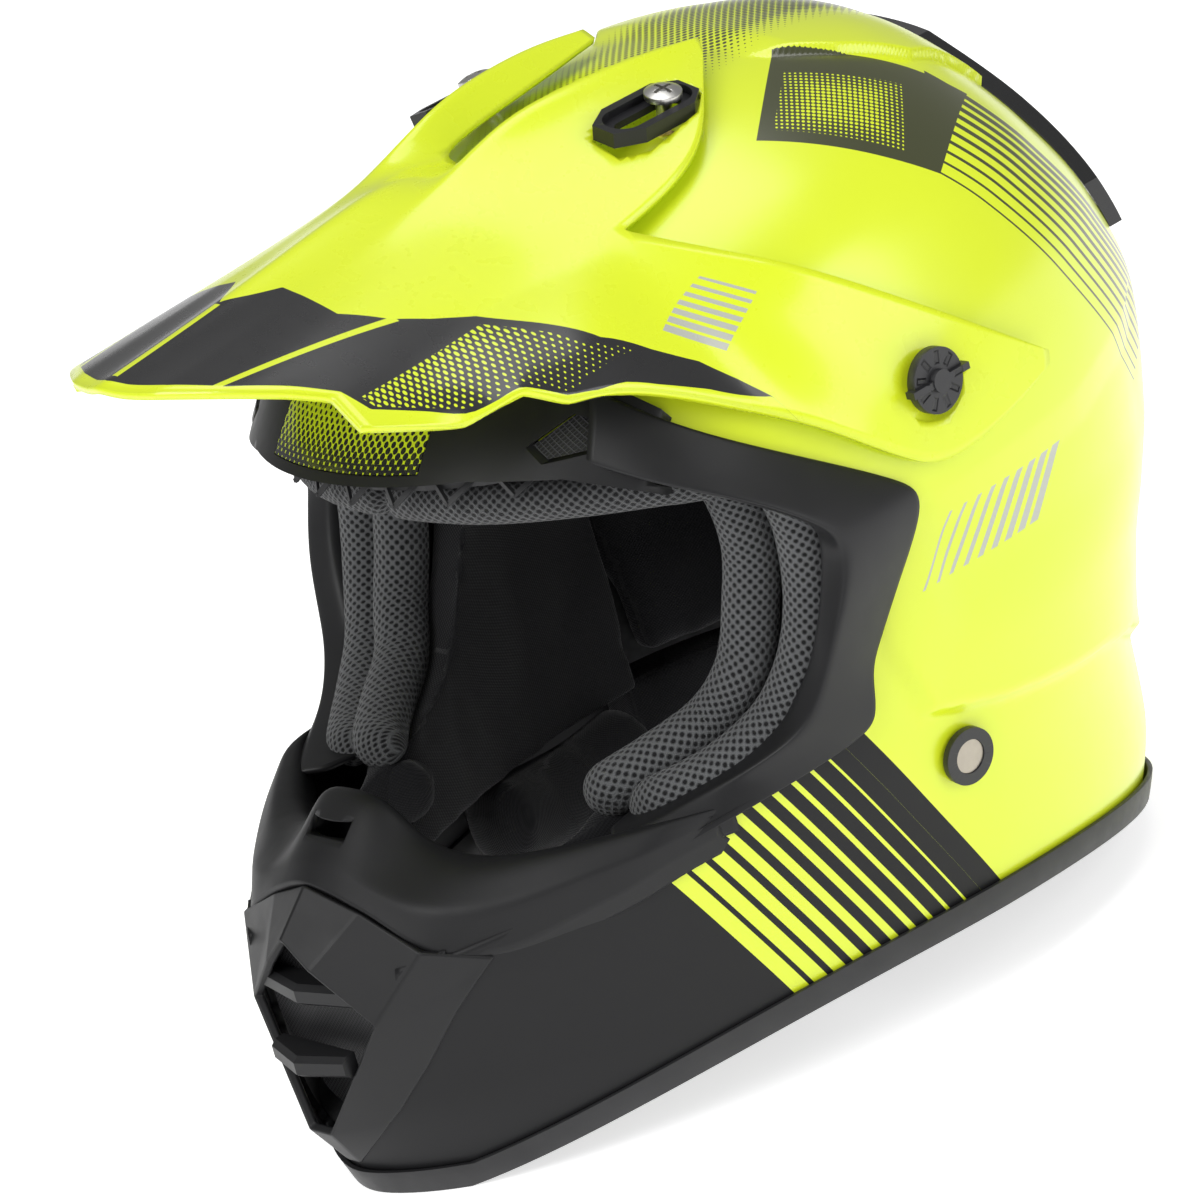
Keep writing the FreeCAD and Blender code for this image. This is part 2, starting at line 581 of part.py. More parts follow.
VISOR_WING = [  # stations along the side, from the ridge down to the lower edge
    [(56, -144, 259.5), (62, -145, 257.5), (68.5, -145.5, 253)],
    [(56, -116.5, 259.5), (68, -116, 252), (77, -115.5, 241)],
    [(56, -92.5, 260), (72, -95, 254), (85, -98, 246)],
    [(59, -64.5, 261.5), (79, -76, 253), (91, -87.5, 238)],
    [(60.5, -47, 262.5), (84, -58, 252), (97, -69, 236)],
    [(61.5, -30, 264.5), on_side(-36, 245, 7.0), on_side(-36, 215, 7.0)],
    [on_side(-17, 257, 6.6), on_side(-18, 234, 7.6), on_side(-19, 203, 6.8)],
    [on_side(-7, 250.5, 6.8), on_side(-7, 225, 7.8), on_side(-7, 192, 6.8)],
    [on_side(3.5, 243, 6.8), on_side(5, 214, 7.2), on_side(6.5, 181, 6.4)],
    [on_side(26.5, 224, 6.0), on_side(21.5, 201, 6.2), on_side(17, 175, 6.2)],
    [on_side(48.5, 206, 6.0), on_side(46, 193, 6.2), on_side(40, 178, 6.2)],
    [on_side(69.5, 190, 5.6), on_side(69, 188, 5.6), on_side(68, 186, 5.6)],
]


def visor_peak():
    """The visor: a ridged plate with two rear fins, and a wing down each side to the pivots."""
    top = skin_from_grid([mirror_row(row) for row in VISOR_TOP], VISOR_WALL)
    notch = [Vector(x, y, 240) for x, y in ((-9, -22), (9, -22), (22, 60), (-22, 60))]
    notch = Part.Face(Part.makePolygon(notch + [notch[0]])).extrude(Vector(0, 0, 100))
    shape = top.cut(notch)
    wing = skin_from_grid([[Vector(*p) for p in row] for row in VISOR_WING], VISOR_WALL)
    shape = shape.fuse(wing).fuse(mirrored(wing))
    seat = knob_seat()
    for side in (1, -1):
        shape = shape.fuse(pivot_cylinder(side, 9.0, seat - 4.4, seat - 1.0))
        shape = shape.cut(pivot_cylinder(side, KNOB_SWEEP + 0.6, seat - SKIN_GAP, 140))
        shape = shape.cut(pivot_cylinder(side, SHOULDER_RADIUS + RUNNING_CLEARANCE, 100, 140))
        shape = shape.cut(slot_shape(side, SLOT[0] + 1.0, -30, 12))
        shape = shape.cut(bezel_shape(side, SKIN_GAP, -20.0))
    for angle in (0, TILT_MAX / 3, TILT_MAX * 2 / 3, TILT_MAX):
        room = body(-TILT_GAP)
        room.rotate(Vector(0, PIVOT_Y, PIVOT_Z), Vector(1, 0, 0), angle)
        shape = shape.cut(room)
    return biggest(shape)


def along_screw(side, u, v, n):
    """A point near a top screw: u rearwards, v outwards, n up the screw's axis from its head."""
    top, axis = screw_frame(side)
    across = Vector(side * axis.z, 0, -side * axis.x)
    return top + Vector(0, u, 0) + across * v + axis * n


def flat_prism(side, outline, low, high):
    points = [along_screw(side, u, v, low) for u, v in outline]
    axis = screw_frame(side)[1]
    return Part.Face(Part.makePolygon(points + [points[0]])).extrude(axis * (high - low))


def bezel_outline(grow):
    return [(11 + grow, -4.5), (11 + grow, 4.5), (4, 9.5 + grow), (-17, 9.5 + grow),
            (-26 - grow, 4.5), (-26 - grow, -4.5), (-17, -9.5 - grow), (4, -9.5 - grow)]


def bezel_shape(side, grow, low):
    return flat_prism(side, bezel_outline(grow), low, -BEZEL_TOP + grow)


def slot_shape(side, half, low, high):
    """Round-ended slot that the top screw's shank runs in as the visor tilts."""
    front, rear = SLOT[1], SLOT[2]
    box = flat_prism(side, [(front, -half), (rear, -half), (rear, half), (front, half)], low, high)
    axis = screw_frame(side)[1]
    for u in (front, rear):
        box = box.fuse(Part.makeCylinder(half, high - low, along_screw(side, u, 0, low), axis))
    return box


def top_bezel(side):
    """Slotted plate let into the visor round a top screw."""
    plate = bezel_shape(side, 0.0, -BEZEL_TOP - BEZEL_THICK)
    recess = slot_shape(side, SCREW_HEAD[0] + 0.7, -BEZEL_TOP - 2.6, 5)
    return biggest(plate.cut(slot_shape(side, SLOT[0], -30, 12)).cut(recess))


# ---- fasteners ----------------------------------------------------------------------------------
def top_screw(side):
    """Pan-head cross-slot screw into the shell's insert."""
    head = screw_axis_cylinder(side, SCREW_HEAD[0], -SCREW_HEAD[1], 0)
    top, axis = screw_frame(side)
    dome = Part.makeSphere(14.0, top + axis * (-14.0 + 0.2))
    cross = flat_prism(side, [(-3.6, -0.6), (3.6, -0.6), (3.6, 0.6), (-3.6, 0.6)], -1.8, 3)
    cross = cross.fuse(flat_prism(side, [(-0.6, -3.6), (0.6, -3.6), (0.6, 3.6), (-0.6, 3.6)], -1.8, 3))
    shank = screw_axis_cylinder(side, SCREW_SHANK, -26, -SCREW_HEAD[1] + 0.5)
    return biggest(head.common(dome).cut(cross).fuse(shank))


def top_inserts():
    """Threaded inserts under the crown for the top screws."""
    inserts = []
    for side in (1, -1):
        barrel = screw_axis_cylinder(side, INSERT_RADIUS, -SHELL_ALONG_SCREW - 13, -SHELL_ALONG_SCREW)
        flange = screw_axis_cylinder(side, 8.0, -SHELL_ALONG_SCREW - 8.0, -SHELL_ALONG_SCREW - 6.2)
        bore = screw_axis_cylinder(side, SCREW_SHANK + RUNNING_CLEARANCE, -SHELL_ALONG_SCREW - 12.7, 0)
        inserts.append(barrel.fuse(flange).cut(bore))
    return Part.makeCompound(inserts)


def pivot_inserts():
    """Threaded inserts in the shell's sides for the thumb knobs."""
    inserts = []
    for side in (1, -1):
        barrel = pivot_cylinder(side, INSERT_RADIUS, 103, 117.2).fuse(pivot_cylinder(side, 8.0, 109, 110.8))
        inserts.append(barrel.cut(pivot_cylinder(side, SCREW_SHANK + RUNNING_CLEARANCE, 104, 120)))
    return Part.makeCompound(inserts)


def knob_seat():
    """x of the face that a thumb knob's head bears on."""
    return side_x(PIVOT_Y, PIVOT_Z) + 6.2


def side_knob(side):
    """Thumb knob whose shoulder is the visor's pivot pin."""
    seat = knob_seat()
    knob = pivot_cylinder(side, SCREW_SHANK, 105.5, seat).fuse(
        pivot_cylinder(side, SHOULDER_RADIUS, seat - 5.2, seat + 1))
    knob = knob.fuse(pivot_cylinder(side, KNOB_RADIUS, seat, seat + 3.2))
    knob = knob.fuse(pivot_cylinder(side, 3.6, seat, seat + 5.0))
    blade = block(seat + 1, seat + 4.6, PIVOT_Y - KNOB_SWEEP, PIVOT_Y + KNOB_SWEEP, PIVOT_Z - 1.1, PIVOT_Z + 1.1)
    return biggest(knob.fuse(side_of(blade, side)))


def snap_ring(side):
    """Round snap boss on the side of the shell, recessed for its steel disc."""
    ring = snap_cylinder(side, 9.2, 0.5, 2.8).fuse(snap_cylinder(side, SNAP_BARREL, -7.0, 0.6))
    return biggest(ring.cut(snap_cylinder(side, 5.5, 1.2, 4)))


def snap_disc(side):
    return snap_cylinder(side, 5.4, 1.2, 2.3)


# ---- chin strap ---------------------------------------------------------------------------------
HANGER_X = 98.0             # where the strap's eyelets hang
RING_X, RING_Z = -31.0, 12.0


def ribbon(points, thick=STRAP_THICK, width=STRAP_WIDTH):
    """Webbing along a line of (x, z) points, its width along Y."""
    line = Part.BSplineCurve()
    line.interpolate([Vector(x, 0, z) for x, z in points])
    first, last = line.FirstParameter, line.LastParameter
    upper, lower = [], []
    for k in range(41):
        u = first + (last - first) * k / 40
        at, along = line.value(u), line.tangent(u)[0]
        across = Vector(-along.z, 0, along.x) * (thick / 2)
        upper.append(at + across + Vector(0, STRAP_Y - width / 2, 0))
        lower.append(at - across + Vector(0, STRAP_Y - width / 2, 0))
    edges = []
    for pts in (upper, lower):
        curve = Part.BSplineCurve()
        curve.interpolate(pts)
        edges.append(curve.toShape())
    edges += [Part.makeLine(upper[0], lower[0]), Part.makeLine(upper[-1], lower[-1])]
    wire = Part.Wire(Part.sortEdges(edges)[0])
    return Part.Face(wire).extrude(Vector(0, width, 0))


def strap_short():
    """Right half of the chin strap, from its eyelet to the D-rings."""
    return ribbon([(-96.8, 34), (-93.5, 27), (-82, 19.5), (-64, 14.5), (RING_X - 6, RING_Z)])


def strap_ring_loop():
    """End of the short half, folded round the straight bars of both D-rings."""
    half = STRAP_WIDTH / 2 - 1
    outer = cylinder(5.0, (RING_X, STRAP_Y - half, RING_Z), (RING_X, STRAP_Y + half, RING_Z))
    inner = cylinder(3.7, (RING_X, STRAP_Y - 13, RING_Z), (RING_X, STRAP_Y + 13, RING_Z))
    return outer.cut(inner).cut(block(RING_X - 20, RING_X - 4.8, -60, 60, 0, 40))


def strap_long():
    """Left half of the chin strap: over the D-rings, down through both and back underneath."""
    return ribbon([(96.8, 34), (93.5, 28), (82, 22), (64, 18.8), (40, 17.4), (20, 17.2), (-2, 17.5), (-14, 17.9),
                   (-20.5, 16.5), (-23.4, 12), (-20.5, 7.5), (-14, 6.1), (-2, 6.3), (14, 8.2), (40, 12.4)])


def d_ring(lift):
    """One D-ring: a straight bar along Y and a bow towards +X."""
    wire, reach = 1.5, 18.2
    z = RING_Z + lift
    bar = cylinder(wire, (RING_X, STRAP_Y - reach, z), (RING_X, STRAP_Y + reach, z))
    bow = Part.makeTorus(reach, wire, Vector(RING_X, STRAP_Y, z), Vector(0, 0, 1), 0, 360)
    bow = bow.cut(block(RING_X - 30, RING_X, -60, 60, 0, 40))
    ends = [Part.makeSphere(wire, Vector(RING_X, STRAP_Y + s * reach, z)) for s in (1, -1)]
    return biggest(bar.fuse(bow).fuse(ends[0]).fuse(ends[1]))


def strap_keeper():
    """Press stud between the strap and its folded-back tail."""
    return cylinder(5.0, (32, STRAP_Y, 13.4), (32, STRAP_Y, 15.8))


def strap_eyelets():
    """Steel eyelets at the strap's ends, turning on the hanger pins."""
    rings = []
    for side in (1, -1):
        ring = cylinder(6.5, (side * (HANGER_X - 1.6), STRAP_Y, STRAP_Z), (side * HANGER_X, STRAP_Y, STRAP_Z))
        tab = block(HANGER_X - 1.6, HANGER_X, STRAP_Y - 9, STRAP_Y + 9, STRAP_Z - 8, STRAP_Z)
        bore = cylinder(2.45, (side * 90, STRAP_Y, STRAP_Z), (side * 110, STRAP_Y, STRAP_Z))
        rings.append(ring.fuse(side_of(tab, side)).cut(bore))
    return Part.makeCompound(rings)


def strap_hangers():
    """Steel plates inside the shell with the pins that the strap hangs from."""
    plates = []
    for side in (1, -1):
        plate = block(101.8, 103.2, STRAP_Y - 9, STRAP_Y + 9, STRAP_Z - 4, STRAP_Z + 12)
        pin = cylinder(2.4, (HANGER_X - 2.4, STRAP_Y, STRAP_Z), (103, STRAP_Y, STRAP_Z))
        head = cylinder(3.6, (HANGER_X - 3.6, STRAP_Y, STRAP_Z), (HANGER_X - 2.0, STRAP_Y, STRAP_Z))
        plates.append(side_of(plate.fuse(pin).fuse(head), side))
    return Part.makeCompound(plates)


# ---- everything, by node ------------------------------------------------------------------------
for make in (outer_shell, eyeport_surround, brow_vent_mesh, brow_panel, brow_gasket, nose_guard,
             mouth_vent_cover, mouth_vent_bars, mouth_vent_mesh, edge_trim, rear_spoiler, rear_vent_mesh,
             eps_crown_liner, eps_chin_liner, cheek_snap_studs, crown_pad, forehead_band, neck_roll,
             visor_peak, top_inserts, pivot_inserts, strap_short, strap_ring_loop, strap_long, strap_keeper,
             strap_eyelets, strap_hangers):
    keep(make.__name__, make())
for label, side in (("left", 1), ("right", -1)):
    for make in (cheek_block, cheek_plate, cheek_pad, top_bezel, top_screw, side_knob, snap_ring, snap_disc):
        keep(make.__name__ + "_" + label, make(side))
keep("d_ring_upper", d_ring(1.7))
keep("d_ring_lower", d_ring(-1.7))

os.makedirs("parts", exist_ok=True)
for name, shape in PARTS.items():
    shape.exportStep("parts/" + name + ".step")
    print(name, shape.isValid(), round(shape.Volume / 1000, 2), "cm3", len(shape.Solids))
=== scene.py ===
import math

import bmesh
import bpy
import numpy as np
from mathutils import Matrix, Vector


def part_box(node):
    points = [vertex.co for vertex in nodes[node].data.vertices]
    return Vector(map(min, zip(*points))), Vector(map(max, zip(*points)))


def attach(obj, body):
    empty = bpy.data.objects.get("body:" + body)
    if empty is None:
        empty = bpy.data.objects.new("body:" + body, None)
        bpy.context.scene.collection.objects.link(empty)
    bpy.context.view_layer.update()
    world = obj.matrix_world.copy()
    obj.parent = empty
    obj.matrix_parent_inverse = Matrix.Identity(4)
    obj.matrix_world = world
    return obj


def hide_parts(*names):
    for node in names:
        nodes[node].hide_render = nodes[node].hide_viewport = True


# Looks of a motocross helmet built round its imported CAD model. Metres; +Z up, the face looks along -Y,
# the wearer's left is +X. MM turns the millimetres of the design into metres.

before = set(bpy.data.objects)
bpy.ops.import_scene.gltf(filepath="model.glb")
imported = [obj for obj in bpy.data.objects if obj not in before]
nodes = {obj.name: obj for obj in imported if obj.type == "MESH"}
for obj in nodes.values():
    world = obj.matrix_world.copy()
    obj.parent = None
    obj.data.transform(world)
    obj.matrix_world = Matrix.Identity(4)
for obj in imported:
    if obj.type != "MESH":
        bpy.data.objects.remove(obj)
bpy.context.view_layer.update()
MM = 0.001

# ---- the helmet's outer surface, as in the CAD model ---------------------------------------------
SHELL_RISE, BASE_LEVEL = 282.6, 6.0
RIM_ARCH, RIM_MIDDLE_Y, RIM_HALF_RUN, RIM_POWER = 27.0, -7.5, 148.0, 2.2
SECTIONS = np.array([
    (0.00, 105.0, -170.5, 143.5, 15.5, 1.66, 2.10),
    (0.07, 112.0, -180.5, 152.5, 17.5, 1.66, 2.10),
    (0.14, 115.5, -181.5, 151.5, 20.5, 1.68, 2.10),
    (0.21, 119.0, -175.5, 159.5, 25.0, 1.72, 2.10),
    (0.30, 121.5, -159.5, 178.5, 32.5, 1.80, 2.10),
    (0.40, 121.5, -138.5, 184.5, 41.5, 1.95, 2.10),
    (0.50, 118.0, -115.5, 173.5, 48.0, 2.05, 2.10),
    (0.60, 108.0, -88.5, 155.5, 50.5, 2.10, 2.10),
    (0.70, 89.5, -57.0, 137.5, 54.5, 2.10, 2.10),
    (0.80, 65.5, -21.5, 122.5, 60.5, 2.05, 2.05),
    (0.90, 36.0, 17.5, 101.0, 65.5, 2.00, 2.00),
    (1.00, 0.0, 64.5, 64.5, 64.5, 2.00, 2.00),
])
TS = SECTIONS[:, 0]


def slopes_of(values):
    steps = np.diff(values) / np.diff(TS)
    out = [steps[0]]
    for a, b in zip(steps, steps[1:]):
        out.append(2 * a * b / (a + b) if a * b > 0 else 0.0)
    return np.array(out + [steps[-1]])


SLOPES = np.stack([slopes_of(SECTIONS[:, k]) for k in range(1, 7)], axis=1)


def section_at(t):
    """Half width, front, rear, widest y and the two powers at height shares t."""
    t = np.clip(t, TS[0], TS[-1])
    i = np.clip(np.searchsorted(TS, t, side="right") - 1, 0, len(TS) - 2)
    h = TS[i + 1] - TS[i]
    s = (t - TS[i]) / h
    a, b = (1 + 2 * s) * (1 - s) ** 2, s * (1 - s) ** 2
    c, d = s * s * (3 - 2 * s), s * s * (s - 1)
    low, high = SECTIONS[i, 1:], SECTIONS[i + 1, 1:]
    out = (a[..., None] * low + (b * h)[..., None] * SLOPES[i]
           + c[..., None] * high + (d * h)[..., None] * SLOPES[i + 1])
    return [out[..., k] for k in range(6)]


def share_at(z):
    """Height share t of the sections at a height z."""
    return np.arcsin(np.clip((np.asarray(z, float) - BASE_LEVEL) / SHELL_RISE, 0, 1)) * 2 / math.pi


def surface(t, angle, inset=0.0):
    """Points of the outer surface in mm, set in by a depth; angle 0 is the left side, 90 the rear."""
    t, angle = np.broadcast_arrays(np.asarray(t, float), np.asarray(angle, float))
    width, front, rear, middle, front_power, rear_power = section_at(t)
    c, s = np.cos(angle), np.sin(angle)
    power = np.where(s > 0, rear_power, front_power)
    reach = np.maximum(np.where(s > 0, rear - inset - middle, middle - front - inset), 0.2)
    width = np.maximum(width - inset, 0.2)
    x = width * np.sign(c) * np.abs(c) ** (2 / power)
    y = middle + reach * np.sign(s) * np.abs(s) ** (2 / power)
    z = np.where(t < 0, BASE_LEVEL + SHELL_RISE * t * math.pi / 2,
                 BASE_LEVEL + (SHELL_RISE - inset) * np.sin(np.maximum(t, 0) * math.pi / 2))
    return np.stack([x, y, z], axis=-1)


def side_x(y, z, inset=0.0):
    """x of the left side at a given y and z."""
    y, z = np.broadcast_arrays(np.asarray(y, float), np.asarray(z, float))
    width, front, rear, middle, front_power, rear_power = section_at(share_at(z))
    power = np.where(y > middle, rear_power, front_power)
    reach = np.where(y > middle, rear - inset - middle, middle - front - inset)
    inside = np.clip(1 - np.minimum(1.0, np.abs(y - middle) / reach) ** power, 0, 1)
    return (width - inset) * inside ** (1 / power)


def front_y(x, z, inset=0.0):
    """y of the front surface at a given x and z."""
    x, z = np.broadcast_arrays(np.asarray(x, float), np.asarray(z, float))
    width, front, rear, middle, front_power, rear_power = section_at(share_at(z))
    inside = np.clip(1 - np.minimum(1.0, np.abs(x) / (width - inset)) ** front_power, 0, 1)
    return middle - (middle - front - inset) * inside ** (1 / front_power)


def rim_height(y, lift=0.0):
    """Height of the arched rim, which is at z = 0 in front and behind."""
    u = np.minimum(1.0, np.abs((np.asarray(y, float) - RIM_MIDDLE_Y) / RIM_HALF_RUN))
    return lift + RIM_ARCH * (1 - u ** RIM_POWER)


def inside_outline(y, z, outline):
    """Which of the points (y, z) lie inside a closed outline."""
    y, z = np.asarray(y, float), np.asarray(z, float)
    hit = np.zeros(y.shape, bool)
    for (ay, az), (by, bz) in zip(outline, outline[1:] + outline[:1]):
        if az == bz:
            continue
        crosses = (az > z) != (bz > z)
        hit ^= crosses & (y < (by - ay) * (z - az) / (bz - az) + ay)
    return hit


def distance_to_line(y, z, line):
    """Signed distance to an open line of points: positive on its left-hand side."""
    best, signed = None, None
    for (ay, az), (by, bz) in zip(line, line[1:]):
        ly, lz = by - ay, bz - az
        along = np.clip(((y - ay) * ly + (z - az) * lz) / (ly * ly + lz * lz), 0, 1)
        dy, dz = y - ay - along * ly, z - az - along * lz
        d = np.hypot(dy, dz)
        side = np.sign(ly * (z - az) - lz * (y - ay))
        if best is None:
            best, signed = d, d * side
        else:
            nearer = d < best
            best, signed = np.where(nearer, d, best), np.where(nearer, d * side, signed)
    return signed


# ---- node materials ------------------------------------------------------------------------------
class Paint:
    """Builds one node material; coordinates are the row frame's, in millimetres."""

    def __init__(self, name, **settings):
        self.mat = bpy.data.materials.new(name)
        self.mat.use_nodes = True
        self.tree = self.mat.node_tree
        self.shader = next(n for n in self.tree.nodes if n.type == "BSDF_PRINCIPLED")
        coord = self.tree.nodes.new("ShaderNodeTexCoord")
        scale = self.tree.nodes.new("ShaderNodeVectorMath")
        scale.operation = "SCALE"
        scale.inputs["Scale"].default_value = 1000.0
        self.link(coord.outputs["Object"], scale.inputs[0])
        self.pos = scale.outputs[0]
        split = self.tree.nodes.new("ShaderNodeSeparateXYZ")
        self.link(self.pos, split.inputs[0])
        self.x, self.y, self.z = split.outputs
        for key, value in settings.items():
            self.set(key.replace("_", " "), value)

    def link(self, a, b):
        self.tree.links.new(a, b)

    def set(self, name, value):
        self.put(value, self.shader.inputs[name])

    def put(self, value, socket):
        """Link a socket's value, or set a constant on it."""
        if isinstance(value, bpy.types.NodeSocket):
            self.link(value, socket)
        elif isinstance(value, tuple) and len(value) == 3 and socket.type == "RGBA":
            socket.default_value = (*value, 1.0)
        else:
            socket.default_value = value

    def math(self, operation, *values, clamp=False):
        node = self.tree.nodes.new("ShaderNodeMath")
        node.operation = operation
        node.use_clamp = clamp
        for value, socket in zip(values, node.inputs):
            self.put(value, socket)
        return node.outputs[0]

    def add(self, a, b):
        return self.math("ADD", a, b)

    def sub(self, a, b):
        return self.math("SUBTRACT", a, b)

    def mul(self, a, b):
        return self.math("MULTIPLY", a, b)

    def both(self, *masks):
        out = masks[0]
        for mask in masks[1:]:
            out = self.math("MINIMUM", out, mask)
        return out

    def either(self, *masks):
        out = masks[0]
        for mask in masks[1:]:
            out = self.math("MAXIMUM", out, mask)
        return out

    def side(self):
        return self.math("ABSOLUTE", self.x)

    def fabric(self):
        """Places along and across a fabric, in mm, as stored on its points."""
        node = self.tree.nodes.new("ShaderNodeAttribute")
        node.attribute_name = "weave"
        split = self.tree.nodes.new("ShaderNodeSeparateXYZ")
        self.link(node.outputs["Vector"], split.inputs[0])
        return split.outputs[0], split.outputs[1]

    def plane(self, u, v, a, b, c):
        """a*u + b*v + c"""
        return self.math("MULTIPLY_ADD", u, a, self.math("MULTIPLY_ADD", v, b, c))

    def edge(self, u, v, p, q):
        """Signed distance to the line from p to q, positive on its left."""
        (pu, pv), (qu, qv) = p, q
        length = math.hypot(qu - pu, qv - pv)
        a, b = -(qv - pv) / length, (qu - pu) / length
        return self.plane(u, v, a, b, -(a * pu + b * pv))

    def polygon(self, u, v, points):
        """Signed distance inside a convex outline given anticlockwise."""
        return self.both(*[self.edge(u, v, p, q) for p, q in zip(points, points[1:] + points[:1])])

    def crisp(self, distance, blur=0.12):
        """A mask of 0 or 1 from a signed distance in mm."""
        return self.math("MULTIPLY_ADD", distance, 1.0 / blur, 0.5, clamp=True)

    def ramp(self, value, low, high):
        node = self.tree.nodes.new("ShaderNodeMapRange")
        node.inputs["From Min"].default_value = low
        node.inputs["From Max"].default_value = high
        self.put(value, node.inputs["Value"])
        return node.outputs["Result"]

    def mix(self, factor, a, b):
        node = self.tree.nodes.new("ShaderNodeMix")
        node.data_type = "RGBA"
        self.put(factor, node.inputs["Factor"])
        self.put(a, node.inputs[6])
        self.put(b, node.inputs[7])
        return node.outputs[2]

    def blend_value(self, factor, a, b):
        node = self.tree.nodes.new("ShaderNodeMix")
        self.put(factor, node.inputs["Factor"])
        self.put(a, node.inputs[2])
        self.put(b, node.inputs[3])
        return node.outputs[0]

    def curve(self, value, points):
        """A value read off a broken line through points of (input, output) between 0 and 1."""
        node = self.tree.nodes.new("ShaderNodeFloatCurve")
        self.put(value, node.inputs["Value"])
        line = node.mapping.curves[0]
        line.points[0].location, line.points[1].location = points[0], points[-1]
        for place in points[1:-1]:
            line.points.new(*place)
        for point in line.points:
            point.handle_type = "VECTOR"
        node.mapping.update()
        return node.outputs[0]

    def noise(self, size, detail=2.0, roughness=0.5):
        """Noise with features of about size mm."""
        node = self.tree.nodes.new("ShaderNodeTexNoise")
        node.inputs["Scale"].default_value = 1.0 / size
        node.inputs["Detail"].default_value = detail
        node.inputs["Roughness"].default_value = roughness
        self.link(self.pos, node.inputs["Vector"])
        return node.outputs["Fac"]

    def dots(self, u, v, pitch, radius):
        """Signed distance into staggered round dots of a radius in mm."""
        sides = []
        for shift in (0.0, 0.5):
            cu = self.sub(self.math("FRACT", self.math("MULTIPLY_ADD", u, 1 / pitch, shift)), 0.5)
            cv = self.sub(self.math("FRACT", self.math("MULTIPLY_ADD", v, 1 / pitch, shift)), 0.5)
            d = self.math("SQRT", self.add(self.mul(cu, cu), self.mul(cv, cv)))
            sides.append(self.mul(d, pitch))
        return self.sub(radius, self.math("MINIMUM", *sides))

    def bars(self, u, start, pitch, count, first, last):
        """Signed distance into a run of bars along u, whose widths go from first to last."""
        step = self.math("MULTIPLY_ADD", u, 1 / pitch, -start / pitch)
        number = self.math("FLOOR", step)
        within = self.mul(self.math("FRACT", step), pitch)
        width = self.math("MULTIPLY_ADD", number, (last - first) / (count - 1), first)
        inside = self.both(within, self.sub(width, within))
        run = self.both(self.sub(u, start), self.sub(start + pitch * count, u))
        return self.both(inside, run)

    def bump(self, height, strength, distance):
        node = self.tree.nodes.new("ShaderNodeBump")
        node.inputs["Strength"].default_value = strength
        node.inputs["Distance"].default_value = distance * MM
        self.link(height, node.inputs["Height"])
        self.link(node.outputs["Normal"], self.shader.inputs["Normal"])
        return node


YELLOW = (0.68, 0.80, 0.016)
BLACK = (0.016, 0.016, 0.017)
GREY = (0.42, 0.43, 0.41)


def shade(colour, factor):
    """A colour made darker or lighter."""
    return tuple(factor * c for c in colour)


def grain(paint, size=0.55, strength=0.25, depth=0.05):
    """Fine moulded grain with a slight change of gloss."""
    paint.bump(paint.noise(size, 3.0, 0.6), strength, depth)


def matt_plastic(name, colour=BLACK, roughness=0.46, size=0.5):
    p = Paint(name)
    cloud = p.noise(28.0, 3.0)
    p.set("Base Color", p.mix(cloud, shade(colour, 0.85), shade(colour, 1.18)))
    rough = p.blend_value(p.noise(9.0, 4.0), roughness - 0.06, roughness + 0.08)
    p.set("Roughness", rough)
    p.set("Specular IOR Level", 0.3)
    grain(p, size)
    return p.mat


def gloss_plastic(name, colour, roughness=0.16):
    p = Paint(name)
    p.set("Base Color", p.mix(p.noise(20.0, 3.0), shade(colour, 0.9), shade(colour, 1.1)))
    p.set("Roughness", p.blend_value(p.noise(6.0, 3.0), roughness - 0.03, roughness + 0.05))
    p.set("Coat Weight", 0.6)
    p.set("Coat Roughness", 0.06)
    p.bump(p.noise(2.2, 1.0), 0.08, 0.04)
    return p.mat


def rubber(name, roughness=0.6):
    p = Paint(name)
    p.set("Base Color", p.mix(p.noise(14.0, 4.0), (0.018, 0.018, 0.019), (0.034, 0.034, 0.036)))
    p.set("Roughness", p.blend_value(p.noise(5.0, 3.0), roughness - 0.08, roughness + 0.08))
    p.set("Specular IOR Level", 0.38)
    grain(p, 0.35, 0.3, 0.04)
    return p.mat


def metal(name, colour, roughness):
    p = Paint(name, Metallic=1.0)
    p.set("Base Color", p.mix(p.noise(3.0, 4.0), shade(colour, 0.82), colour))
    p.set("Roughness", p.blend_value(p.noise(0.8, 4.0), roughness - 0.07, roughness + 0.1))
    p.bump(p.noise(0.4, 4.0), 0.12, 0.03)
    return p.mat


def spacer_mesh(name, light, dark, pitch=3.3):
    """Three-dimensional mesh fabric: staggered round holes in a knitted face, laid along the fabric; the
    holes are painted dark as the shade down in them.
    """
    p = Paint(name)
    u, v = p.fabric()
    holes = p.dots(u, v, pitch, 0.74)
    mask = p.ramp(holes, -0.30, 0.22)
    threads = p.math("SINE", p.mul(p.add(u, v), 2 * math.pi / 0.75))
    cross = p.math("SINE", p.mul(p.sub(u, v), 2 * math.pi / 0.75))
    knit = p.math("MULTIPLY_ADD", p.add(threads, cross), 0.25, 0.5)
    face = p.mix(knit, shade(light, 0.66), light)
    face = p.mix(p.ramp(p.noise(26.0, 2.0), 0.3, 0.7), face, shade(light, 0.8))
    # The holes take the dark colour: painted shade down in the holes of the fabric.
    p.set("Base Color", p.mix(mask, face, dark))
    p.set("Roughness", 0.92)
    p.set("Sheen Weight", 0.2)
    p.set("Sheen Roughness", 0.5)
    p.set("Specular IOR Level", 0.2)
    p.bump(p.sub(p.mul(knit, 0.35), mask), 0.9, 0.6)
    return p.mat


